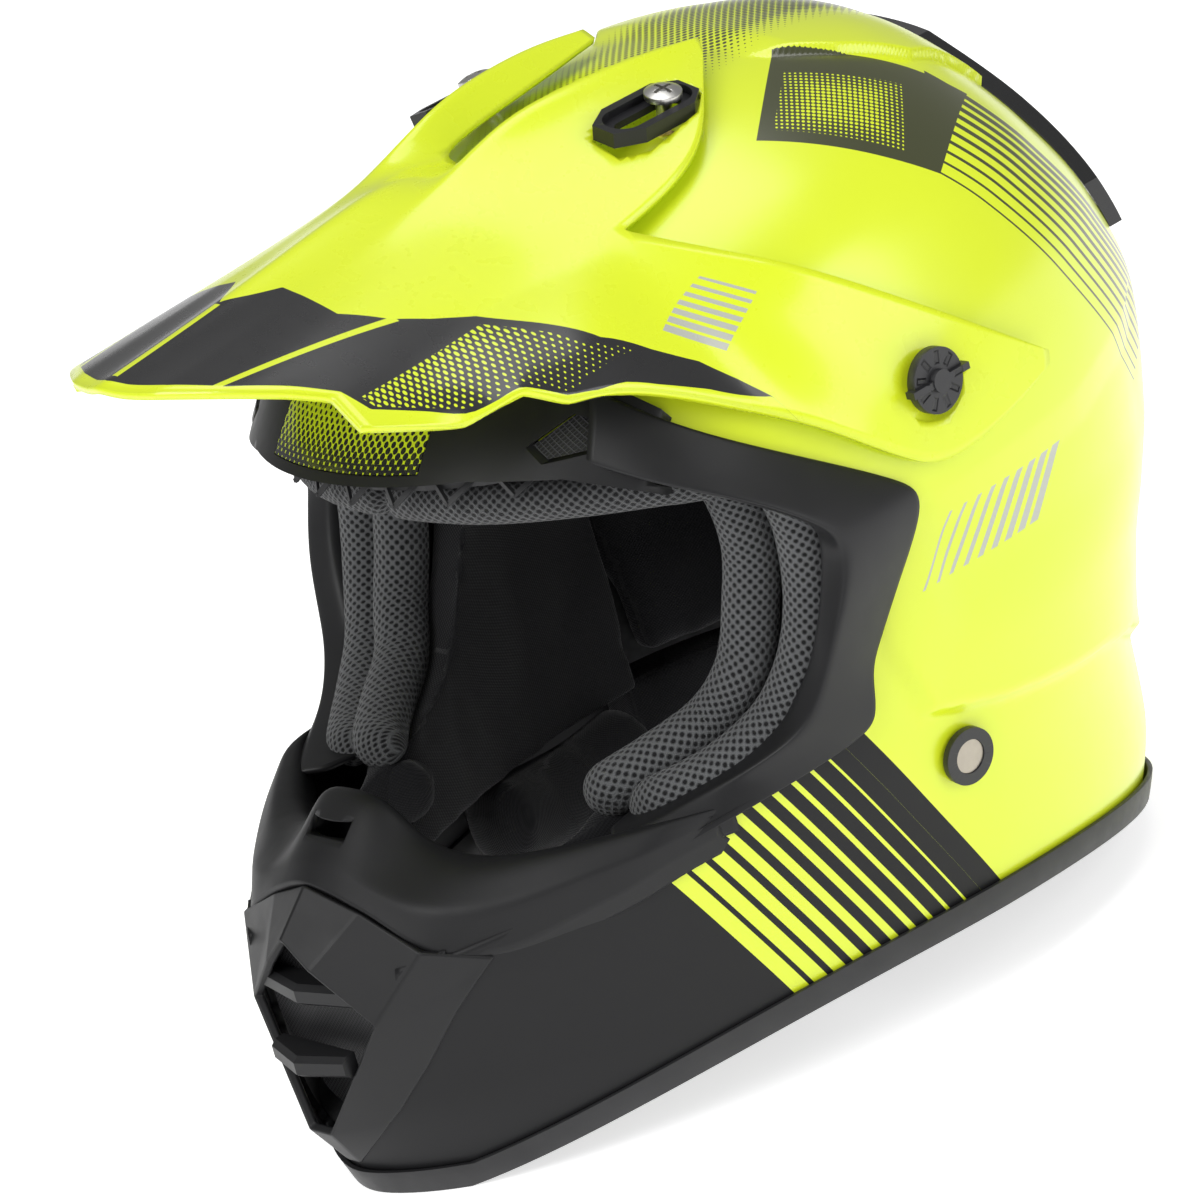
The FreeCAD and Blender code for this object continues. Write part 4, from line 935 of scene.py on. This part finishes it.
def make_visor():
    """The peak: a plate from lip to rear tips and a wing down each side, cut for knobs and bezels."""
    points, faces, creases = [], [], []

    def add(p):
        points.append(p)
        return len(points) - 1

    plate = []
    for row in VISOR_TOP:
        left = [add(p) for p in row]
        right = [add(p) for p in mirror_x(row[1:])]
        plate.append(right[::-1] + left)
    middle = len(VISOR_TOP[0]) - 1
    for i in range(len(plate) - 1):
        for j in range(len(plate[i]) - 1):
            if i >= JOINED - 1 and j in (middle - 1, middle):
                continue
            faces.append((plate[i][j], plate[i][j + 1], plate[i + 1][j + 1], plate[i + 1][j]))
        for side in (-1, 1):
            crest, edge = middle + CREST_COLUMN * side, middle + EDGE_COLUMN * side
            sharpness = CREST_CREASE if i >= JOINED - 2 else FLAT_CREST_CREASE
            creases.append((plate[i][crest], plate[i + 1][crest], sharpness))
            creases.append((plate[i][edge], plate[i + 1][edge], EDGE_CREASE))
        creases.append((plate[i][middle], plate[i + 1][middle], MIDDLE_CREASE))
    sharp = [plate[-1][middle + k] for k in (-3, -2, 2, 3)] + [plate[0][middle + k] for k in (-5, -4, 4, 5)]
    for side in (-1, 1):
        wing = []
        for i, row in enumerate(VISOR_WING):
            row = row if side > 0 else mirror_x(row)
            start = [plate[i][middle + EDGE_COLUMN * side]] if i < JOINED else []
            wing.append(start + [add(p) for p in row])
            if 0 < i < 4:
                sharp.append(wing[-1][-1])
        sharp.append(wing[-1][-1])
        for i in range(len(wing) - 1):
            for j in range(2):
                faces.append((wing[i][j], wing[i][j + 1], wing[i + 1][j + 1], wing[i + 1][j]))
    visor = new_object("visor_skin", points, faces)
    face_out(visor, (0, 0, 150))
    crease_by_value = {}
    for a, b, value in creases:
        crease_by_value.setdefault(value, []).append((a, b))
    for value, pairs in crease_by_value.items():
        crease(visor, pairs, value)
    corners = visor.data.attributes.new("crease_vert", "FLOAT", "POINT")
    for index in sharp:
        corners.data[index].value = CORNER_CREASE
    subdivide(visor, 3)
    thicken(visor, VISOR_WALL, -0.6)
    bake(visor)
    seat = float(side_x(PIVOT_Y, PIVOT_Z)) + KNOB_SEAT_PROUD
    for side in (-1, 1):
        start, end = (side * (seat - 0.4), PIVOT_Y, PIVOT_Z), (side * 140, PIVOT_Y, PIVOT_Z)
        cut_with(visor, cylinder(KNOB_POCKET, start, end))
    for name in ("left", "right"):
        cut_with(visor, hull_of("top_bezel_" + name, BEZEL_HOLE_GROW, BEZEL_HOLE_DROP))
    visor.data.polygons.foreach_set("use_smooth", [True] * len(visor.data.polygons))
    visor.data.materials.clear()
    return fit_out(visor, visor_mat, "visor", ["visor_peak"])


make_visor()


# ---- flared rim of the eyeport -------------------------------------------------------------------
# Points round the left half of the port, from the brow down to the nose guard: on the moulding's outer
# edge, on the fold that stands furthest out, and at the foot of the wall that runs inwards.
FLARE_OUTER = [(75, -66.5, 232), (92, -57, 219), (104, -41, 206), (114, -19, 191), (121.5, 3, 176),
               (123.5, 10, 168), (121, -7, 148), (119.5, -19, 133), (118.5, -25, 125), (117.5, -25, 110),
               (115.5, -32, 105.5), (107.5, -55, 101), (96.5, -80, 96.5), (87, -98.5, 93), (79, -110, 90.5)]
FLARE_FOLD = [(78, -77.5, 213), (93, -70.5, 205), (105, -60.5, 198.5), (117, -49.5, 191),
              (126, -36.5, 179.5), (127.5, -29.5, 169.5), (127.5, -34, 157.5), (124.5, -41, 144),
              (121, -45.5, 132), (116.5, -50, 121), (110.5, -56, 114.5), (99, -68, 108.5),
              (89, -81, 105), (82, -92.5, 102), (74.5, -102, 100.5)]
FLARE_FOOT = [(77, -75, 209), (91, -64, 202.5), (102, -52.5, 193), (110, -43, 186), (115, -33, 178),
              (115, -29, 172), (115, -35.5, 153.5), (113, -39, 144), (110.5, -41.5, 135), (106, -46, 126),
              (100.5, -48.5, 119), (91, -59, 111), (82, -72.5, 106), (75, -88, 101.5), (68, -97, 100)]
FLARE_INWARD = (-4.0, 17.0, 0.0)          # from the lip's inner edge to the hidden end of the wall
CREST_SHARE = 0.42
FLARE_WALL = 2.0
SURROUND_PROUD = 3.0
FLARE_FREE_Z = 200.0                      # above this the outer edge is clear of the shell


def between(a, b, share, lift=0.0):
    p = Vector(a).lerp(Vector(b), share)
    return tuple(p + Vector((p.x, -20.0, 0.0)).normalized() * lift)


def make_flare(side, name):
    outer = []
    for x, y, z in FLARE_OUTER:
        on_shell = z < FLARE_FREE_Z
        outer.append((max(x, float(side_x(y, z)) + SURROUND_PROUD) if on_shell else x, y, z))
    rows = [[(x - 3.6, y + 0.6, z) for x, y, z in outer], outer]
    rows.append([between(o, f, CREST_SHARE, 0.8) for o, f in zip(outer, FLARE_FOLD)])
    rows.append([between(o, f, 0.93, 0.2) for o, f in zip(outer, FLARE_FOLD)])
    rows.append([between(f, w, 0.07) for f, w in zip(FLARE_FOLD, FLARE_FOOT)])
    rows.append([between(f, w, 0.9) for f, w in zip(FLARE_FOLD, FLARE_FOOT)])
    rows.append([tuple(Vector(w) + Vector(FLARE_INWARD) * 0.12) for w in FLARE_FOOT])
    rows.append([tuple(Vector(w) + Vector(FLARE_INWARD)) for w in FLARE_FOOT])
    points = [p for row in rows for p in row]
    if side < 0:
        points = mirror_x(points)
    columns = len(FLARE_FOLD)
    flare = new_object(name, points, grid_faces(len(rows), columns))
    face_out(flare, (0, 20, 150))
    crease(flare, [(columns + k, columns + k + 1) for k in range(columns - 1)], 0.7)
    subdivide(flare, 3)
    thicken(flare, FLARE_WALL)
    bake(flare)
    return fit_out(flare, surround_mat)


BOX_SIDES = [(0, 1, 3, 2), (4, 6, 7, 5), (0, 4, 5, 1), (2, 3, 7, 6), (0, 2, 6, 4), (1, 5, 7, 3)]


def block(name, low, high):
    """A closed box between two corners in mm."""
    corners = [(x, y, z) for x in (low[0], high[0]) for y in (low[1], high[1]) for z in (low[2], high[2])]
    box = new_object(name, corners, BOX_SIDES)
    face_out(box, (Vector(low) + Vector(high)) / 2)
    return box


FRINGE_TEETH, FRINGE_PITCH, FRINGE_HALF, FRINGE_THICK = 3, 18.0, 5.8, 1.2
FRINGE_TOP, FRINGE_TIP, FRINGE_INSET = 210.0, 204.4, 9.5
RAIL_HALF, TOOTH_HALF = 2.2, 0.8          # half widths of the rail and of a tooth's two strokes


def make_brow_fringe():
    """Thin rubber seal under the brow, with open V teeth hanging from a rail."""
    points, faces = [], []

    def bar(a, b, half):
        a, b = Vector(a), Vector(b)
        across = (b - a).cross(Vector((0, 1, 0))).normalized() * half
        deep = Vector((0, FRINGE_THICK / 2, 0))
        base = len(points)
        points.extend(tuple(p + s * across + d * deep) for p in (a, b) for s in (-1, 1) for d in (-1, 1))
        faces.extend(tuple(base + k for k in side) for side in BOX_SIDES)

    def hang(x, z):
        return (x, float(front_y(x, z, FRINGE_INSET)), z)

    for k in range(-FRINGE_TEETH, FRINGE_TEETH + 1):
        x = k * FRINGE_PITCH
        left, right = x - FRINGE_PITCH / 2, x + FRINGE_PITCH / 2
        bar(hang(left, FRINGE_TOP), hang(right, FRINGE_TOP), RAIL_HALF)
        bar(hang(x - FRINGE_HALF, FRINGE_TOP), hang(x, FRINGE_TIP), TOOTH_HALF)
        bar(hang(x, FRINGE_TIP), hang(x + FRINGE_HALF, FRINGE_TOP), TOOTH_HALF)
    fringe = new_object("brow_fringe", points, faces)
    fringe.data.polygons.foreach_set("use_smooth", [False] * len(fringe.data.polygons))
    return fit_out(fringe, guard_mat, stands_for=["brow_gasket"])


BROW_CUT_Z, BROW_CUT_X = 196.0, 90.0      # the moulding is kept above and between these


def make_brow_surround():
    """The moulding over the port, between the two flared sides."""
    brow = add_object("port_brow", nodes["eyeport_surround"].data.copy())
    cut_with(brow, block("cutter", (-160, -220, 40), (160, 60, BROW_CUT_Z)))
    for side in (-1, 1):
        near, far = sorted((side * BROW_CUT_X, side * 160))
        cut_with(brow, block("cutter", (near, -220, 40), (far, 60, 320)))
    brow.data.materials.clear()
    return fit_out(brow, surround_mat, stands_for=["eyeport_surround"])


make_flare(1, "port_flare_left")
make_flare(-1, "port_flare_right")
make_brow_surround()
make_brow_fringe()


# ---- nose guard and mouth cover ------------------------------------------------------------------
# Stations outwards from the middle: x, then (y, z) of the seam, the groove, the crest's front and back, and
# the inner foot. The last one sinks into the flare.
GUARD_STATIONS = [
    (0, (-162.5, 103.5), (-158, 109), (-141, 123), (-131, 122.5), (-130, 96)),
    (10, (-161.5, 101), (-157, 107), (-140, 122.5), (-131, 122), (-130, 96)),
    (16, (-161, 98.5), (-156.5, 104), (-139, 117.5), (-131, 117.5), (-130, 95)),
    (22, (-160, 96), (-155.5, 101.5), (-138.5, 109.5), (-130, 110.5), (-129.5, 93)),
    (30, (-159, 91.5), (-154.5, 98), (-138.5, 105), (-128, 105), (-127, 91)),
    (43, (-157, 83), (-151, 94.5), (-137, 102), (-123, 101.5), (-121, 90)),
    (58, (-142.5, 76.5), (-139, 91.5), (-127.5, 102), (-113.5, 101.5), (-112, 90)),
    (74, (-122.5, 84), (-120.5, 95), (-111.5, 102.5), (-99.5, 102.5), (-98, 90)),
    (84, (-108.5, 87), (-107, 96.5), (-100.5, 102.5), (-91, 103.5), (-90, 91)),
    (91, (-97.5, 92), (-97.5, 97.5), (-93, 102.5), (-84, 103.5), (-83, 92)),
    (96, (-78, 93), (-77.5, 98), (-77, 101), (-72, 101), (-72, 92)),
]
# From the seam down behind the pieces below it, behind the cover and outside it.
GUARD_TUCK_COVER, GUARD_TUCK_SIDE, COVER_REACH = (8.0, -15.0), (5.0, -6.0), 50.0
GUARD_SLOT = (9.0, 112.3, 116.9)          # half width, low and high edges of the slot under the crest
GUARD_SLOT_RUN = (-175, -136)
GUARD_CREASES = ((1, 1.0), (2, 0.5), (3, 0.3))   # point of each station, and how sharp the fold along it is
GUARD_WALL, COVER_WALL = 2.4, 3.2


def make_nose_guard():
    """The lower moulding of the port, folded along its length, with a slot under its middle."""
    stations = [(-x, *line) for x, *line in GUARD_STATIONS[:0:-1]] + GUARD_STATIONS
    lines = []
    for x, *line in stations:
        tuck_y, tuck_z = GUARD_TUCK_COVER if abs(x) < COVER_REACH else GUARD_TUCK_SIDE
        lines.append((x, [(line[0][0] + tuck_y, line[0][1] + tuck_z)] + line))
    points = [(x, y, z) for x, line in lines for y, z in line]
    width = len(GUARD_STATIONS[0])
    guard = new_object("nose_saddle", points, grid_faces(len(stations), width))
    face_out(guard, (0, -90, 60))
    for row, sharpness in GUARD_CREASES:
        crease(guard, [(i * width + row, (i + 1) * width + row) for i in range(len(stations) - 1)], sharpness)
    subdivide(guard, 3)
    thicken(guard, GUARD_WALL)
    bake(guard)
    half, low, high = GUARD_SLOT
    front, rear = GUARD_SLOT_RUN
    cut_with(guard, block("cutter", (-half, front, low), (half, rear, high)))
    guard.data.materials.clear()
    return fit_out(guard, guard_soft_mat, stands_for=["nose_guard"])


# Corners of the chin's faceted cover; each side but the middle two has a twin.
COVER_PROUD = 1.2
COVER = {"t": (0, -163, 102.6), "d": (0, -177.3, 90.9), "q": (20, -160.5, 95.4), "b": (42.6, -158.3, 84.3),
         "c": (57.5, float(front_y(57.5, 78, -COVER_PROUD)), 78), "p": (10, -177.5, 82),
         "e": (29, -172.7, 64), "f": (5, -183, 27.5)}
COVER_FACES = ["tqpd", "qbep", "bce"]
COVER_SEAM = [(57.5, 78), (47, 63), (37, 47), (27, 34), (17, 24), (8, 16), (3, 12)]


def make_mouth_cover():
    """The faceted cover over the mouth vent, its outer edge curved to the shell."""
    points, faces, index = [], [], {}

    def place(p):
        key = tuple(round(c, 3) for c in p)
        if key not in index:
            index[key] = len(points)
            points.append(key)
        return index[key]

    def on_seam(side, x, z):
        return place((side * x, float(front_y(x, z, -COVER_PROUD)), z))

    feet, chin = [], []
    for side in (1, -1):
        at = {k: place((side * x, y, z)) for k, (x, y, z) in COVER.items()}
        faces += [tuple(at[k] for k in row) for row in COVER_FACES]
        seam = []
        for (x0, z0), (x1, z1) in zip(COVER_SEAM, COVER_SEAM[1:]):
            for share in (0.0, 0.34, 0.67):
                seam.append(on_seam(side, x0 + (x1 - x0) * share, z0 + (z1 - z0) * share))
        seam.append(on_seam(side, *COVER_SEAM[-1]))
        feet.append(seam[-1])
        chin.append(at["f"])
        turn = 9                                    # the seam points before this one fan out from e
        faces.append((at["c"], seam[0], at["e"]))
        faces += [(a, b, at["e"]) for a, b in zip(seam[:turn], seam[1:turn + 1])]
        faces.append((seam[turn], at["f"], at["e"]))
        faces += [(a, b, at["f"]) for a, b in zip(seam[turn:], seam[turn + 1:])]
    faces.append((feet[0], feet[1], chin[1], chin[0]))
    cover = new_object("mouth_cowl", points, faces)
    face_out(cover, (0, -100, 70))
    thicken(cover, COVER_WALL)
    m = cover.modifiers.new("edges", "BEVEL")
    m.width, m.segments, m.limit_method, m.angle_limit = 2.2 * MM, 4, "ANGLE", math.radians(8)
    m.harden_normals = True
    bake(cover)
    cover.data.materials.clear()
    return fit_out(cover, surround_mat, stands_for=["mouth_vent_cover"])


make_nose_guard()
make_mouth_cover()


# ---- padding -------------------------------------------------------------------------------------
# Middles of the padded rolls, and their half thicknesses: the two along each cheek pad's front, the two
# behind its lower end, and the one under the brow (left half).
FRONT_ROLL = [(100, -30, 194), (103.5, -26, 180), (104.5, -26, 165), (104.5, -29, 149), (102.5, -35, 133),
              (96.5, -45, 117.5), (87, -61, 107), (76, -76, 102), (66, -87, 99.5)]
INNER_ROLL = [(80, -32, 194), (82, -28.5, 178), (82.8, -28.5, 165), (82.1, -33.3, 148), (81, -41, 130),
              (74.5, -51, 117), (65, -68, 109.5), (55.5, -81.5, 104.5), (48, -88, 101)]
PAD_END = [(46, -86, 88), (57, -78, 86), (71, -64, 87), (84, -47, 92)]
PAD_END_SIZE = 11.0
PAD_FOOT = [(66, -42, 52), (68, -20, 48), (68, 4, 47), (67, 28, 51)]
PAD_FOOT_SIZE = 15.0
FRONT_SIZE, INNER_SIZE = 8.8, 9.2
BAND_LINE = [(101, -33, 194), (88, -50, 196.5), (62, -72, 198.5), (33, -86.5, 199.5), (0, -91, 200)]
BAND_SIZE = 7.4
TENSION, BENDING = 15.0, 2.0              # stiffness of the covers
CAP_RUN = 1.6                             # the round ends of a roll reach this many radii


def lay_weave(pad, path=None):
    """Store the place of each point along and across the fabric, in mm, for its pattern to follow."""
    mesh = pad.data
    co = np.array([v.co for v in mesh.vertices]) / MM
    normals = np.array([v.normal for v in mesh.vertices])
    if path is None:
        out = np.stack([co[:, 1] + 0.5 * co[:, 0], co[:, 2] + 0.5 * co[:, 0], co[:, 0] * 0], axis=1)
        flat = np.abs(normals[:, 2]) > 0.7
        front = np.abs(normals[:, 1]) > np.maximum(np.abs(normals[:, 0]), np.abs(normals[:, 2]))
        out[front, 0], out[front, 1] = co[front, 0], co[front, 2]
        out[flat, 0], out[flat, 1] = co[flat, 0], co[flat, 1]
    else:
        steps = np.concatenate([[0], np.cumsum(np.linalg.norm(np.diff(path, axis=0), axis=1))])
        far = np.linalg.norm(co[:, None, :] - path[None], axis=2)
        nearest = far.argmin(axis=1)
        tangents = np.gradient(path, axis=0)
        tangents /= np.linalg.norm(tangents, axis=1, keepdims=True)
        t = tangents[nearest]
        offset = co - path[nearest]
        along = steps[nearest] + (offset * t).sum(axis=1)
        inward = np.cross(t, np.array([0.0, 1.0, 0.0]))
        inward /= np.linalg.norm(inward, axis=1, keepdims=True)
        across = np.cross(t, inward)
        across *= np.where(across[:, 1:2] > 0, -1.0, 1.0)
        sideways = (offset * inward).sum(axis=1)
        angle = np.arctan2(sideways, (offset * across).sum(axis=1))
        radius = np.median(np.linalg.norm(offset, axis=1))
        round_part = smoothstep(np.minimum(along, steps[-1] - along), 0.0, CAP_RUN * radius)
        wide = sideways + (angle * radius - sideways) * round_part
        onwards = np.where(along < steps[-1] / 2, -1.0, 1.0) * (radius - (offset * across).sum(axis=1))
        along = along + onwards * (1 - round_part)
        out = np.stack([along, wide, along * 0], axis=1)
    layer = mesh.attributes.new("weave", "FLOAT_VECTOR", "POINT")
    layer.data.foreach_set("vector", out.ravel().astype(np.float32))


def relax_cloth(pad, pressure, cap, frames=20):
    """Swell a padded form a little with a cloth simulation, and cap how far its points move."""
    before = np.array([v.co for v in pad.data.vertices])
    cloth = pad.modifiers.new("cloth", "CLOTH")
    cloth.settings.use_pressure = True
    cloth.settings.uniform_pressure_force = pressure
    cloth.settings.effector_weights.gravity = 0.0
    cloth.settings.tension_stiffness = TENSION
    cloth.settings.bending_stiffness = BENDING
    cloth.point_cache.frame_start, cloth.point_cache.frame_end = 1, frames
    for step in range(1, frames + 1):
        bpy.context.scene.frame_set(step)
    bake(pad)
    after = np.array([v.co for v in pad.data.vertices])
    bpy.context.scene.frame_set(1)
    move = after - before
    far = np.linalg.norm(move, axis=1, keepdims=True)
    move *= np.minimum(1.0, cap * MM / np.maximum(far, 1e-9))
    pad.data.vertices.foreach_set("co", (before + move).ravel().astype(np.float32))
    pad.data.update()


def remesh(pad, size):
    """Give the form evenly spread faces of a size in mm."""
    m = pad.modifiers.new("remesh", "REMESH")
    m.mode, m.voxel_size, m.use_smooth_shade = "VOXEL", size * MM, True
    bake(pad)


def even_out(pad, times, factor=0.5):
    """Smooth out the steps that a remesh leaves."""
    m = pad.modifiers.new("even", "SMOOTH")
    m.iterations, m.factor = times, factor
    bake(pad)


def shrink(pad, depth):
    """Move the points inwards along their normals by a depth in mm."""
    mesh = pad.data
    co = np.array([v.co for v in mesh.vertices])
    normals = np.array([v.normal for v in mesh.vertices])
    mesh.vertices.foreach_set("co", (co - normals * depth * MM).ravel().astype(np.float32))
    mesh.update()


def soften(node, name, material, voxel=4.0, depth=1.6, cap=5.0):
    """Stand a swollen fabric form in for a plain CAD pad."""
    pad = add_object(name, nodes[node].data.copy())
    pad.data.materials.clear()
    remesh(pad, voxel)
    shrink(pad, depth)
    even_out(pad, 4)
    relax_cloth(pad, 1.2, cap)
    even_out(pad, 3)
    subdivide(pad, 1)
    bake(pad)
    pad.data.materials.append(material)
    pad.data.polygons.foreach_set("use_smooth", [True] * len(pad.data.polygons))
    lay_weave(pad)
    fit_out(pad, material, stands_for=[node])
    return pad


def smooth_path(points, count):
    """Evenly spread points on a smooth curve through the given ones."""
    points = np.array(points, float)
    steps = np.concatenate([[0], np.cumsum(np.linalg.norm(np.diff(points, axis=0), axis=1))])
    slopes = np.gradient(points, steps, axis=0)
    out = []
    for s in np.linspace(0, steps[-1], count):
        i = min(int(np.searchsorted(steps, s, side="right")) - 1, len(points) - 2)
        h = steps[i + 1] - steps[i]
        u = (s - steps[i]) / h
        out.append((1 + 2 * u) * (1 - u) ** 2 * points[i] + u * (1 - u) ** 2 * h * slopes[i]
                   + u * u * (3 - 2 * u) * points[i + 1] + u * u * (u - 1) * h * slopes[i + 1])
    return np.array(out)


def tube(path, radius, around=20, ends=3):
    """Points and faces of a closed round tube along a path, its ends drawn in."""
    points, faces = [], []
    tangents = np.gradient(path, axis=0)
    for i, (p, t) in enumerate(zip(path, tangents)):
        t = Vector(t).normalized()
        u = t.cross(Vector((1, 0, 0))).normalized()
        v = t.cross(u)
        edge = min(i, len(path) - 1 - i)
        r = radius * math.sqrt(1 - (1 - min(edge / ends, 1)) ** 2) if edge < ends else radius
        r = max(r, radius * 0.2)
        points += [tuple(Vector(p) + (u * math.cos(a) + v * math.sin(a)) * r)
                   for a in (2 * math.pi * k / around for k in range(around))]
    faces = grid_faces(len(path), around, closed=True)
    faces += [tuple(range(around))[::-1], tuple(range(len(points) - around, len(points)))]
    return points, faces


def make_roll(name, line, size, material=None, around=24):
    """One padded fabric roll along a line of points."""
    path = smooth_path(line, 44)
    roll = new_object(name, *tube(path, size, around))
    face_out(roll, tuple(path[len(path) // 2]))
    remesh(roll, 2.6)
    even_out(roll, 2)
    relax_cloth(roll, 0.6, 2.0, 10)
    subdivide(roll, 1)
    bake(roll)
    roll.data.polygons.foreach_set("use_smooth", [True] * len(roll.data.polygons))
    roll.data.materials.clear()
    lay_weave(roll, path)
    fit_out(roll, material or pad_mat)
    return roll


for side, name in ((1, "left"), (-1, "right")):
    flip = mirror_x if side < 0 else list
    make_roll("cheek_roll_outer_" + name, flip(FRONT_ROLL), FRONT_SIZE)
    make_roll("cheek_roll_inner_" + name, flip(INNER_ROLL), INNER_SIZE)
    soften("cheek_pad_" + name, "cheek_cover_" + name, lining_mat, depth=3.0)
soften("crown_pad", "crown_lining", lining_mat, voxel=5.0)
for side, name in ((1, "left"), (-1, "right")):
    flip = mirror_x if side < 0 else list
    make_roll("cheek_end_" + name, flip(PAD_END), PAD_END_SIZE, lining_mat)
    make_roll("cheek_foot_" + name, flip(PAD_FOOT), PAD_FOOT_SIZE, lining_mat)
whole_band = BAND_LINE + mirror_x(BAND_LINE[-2::-1])
band = make_roll("brow_lining", whole_band, BAND_SIZE, band_mat)
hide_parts("forehead_band")
soften("neck_roll", "neck_lining", lining_mat)

# ---- camera, floor and light ---------------------------------------------------------------------
LENS, SENSOR, CLIP_END = 183.18, 36.0, 60.0
# The camera's place and the directions of its own axes.
CAMERA_AT = (1.40967, -1.11973, 0.81901)
RIGHT, UP, BACK = (0.6659, 0.7051, -0.2437), (-0.1131, 0.4183, 0.9012), (0.7374, -0.5726, 0.3583)
camera_data = bpy.data.cameras.new("camera")
camera_data.lens, camera_data.sensor_width, camera_data.clip_end = LENS, SENSOR, CLIP_END
camera = add_object("camera", camera_data)
camera.matrix_world = Matrix([*zip(RIGHT, UP, BACK, CAMERA_AT), (0, 0, 0, 1)])
bpy.context.scene.camera = camera

floor_mesh = bpy.data.meshes.new("floor")
FLOOR_SIZE = 30.0
corners = [(-1, -1), (1, -1), (1, 1), (-1, 1)]
floor_mesh.from_pydata([(FLOOR_SIZE * x, FLOOR_SIZE * y, 0) for x, y in corners], [], [(0, 1, 2, 3)])
floor = add_object("floor", floor_mesh)
floor_paint = Paint("floor_white", Roughness=0.85)
floor_paint.set("Base Color", (0.88, 0.88, 0.88))
floor_paint.set("Emission Color", (1.0, 1.0, 1.0))
floor_paint.set("Emission Strength", 0.66)
floor_mesh.materials.append(floor_paint.mat)

world = bpy.data.worlds.new("studio")
bpy.context.scene.world = world
world.use_nodes = True
background = world.node_tree.nodes["Background"]
background.inputs["Color"].default_value = (1, 1, 1, 1)
background.inputs["Strength"].default_value = 0.30


def softbox(name, place, target, width, height, power):
    data = bpy.data.lights.new(name, "AREA")
    data.shape = "RECTANGLE"
    data.size, data.size_y, data.energy = width, height, power
    light = add_object(name, data)
    light.location = place
    light.rotation_euler = (Vector(target) - Vector(place)).to_track_quat("-Z", "Y").to_euler()
    return light


softbox("key", (0.4, -1.9, 1.7), (0, 0, 0.15), 1.2, 1.2, 26)
softbox("right", (1.9, 0.7, 1.1), (0, 0, 0.15), 0.9, 1.6, 14)
softbox("top", (0.0, 0.2, 2.2), (0, 0, 0.2), 1.4, 1.4, 17)
bpy.context.scene.view_settings.view_transform = "Standard"
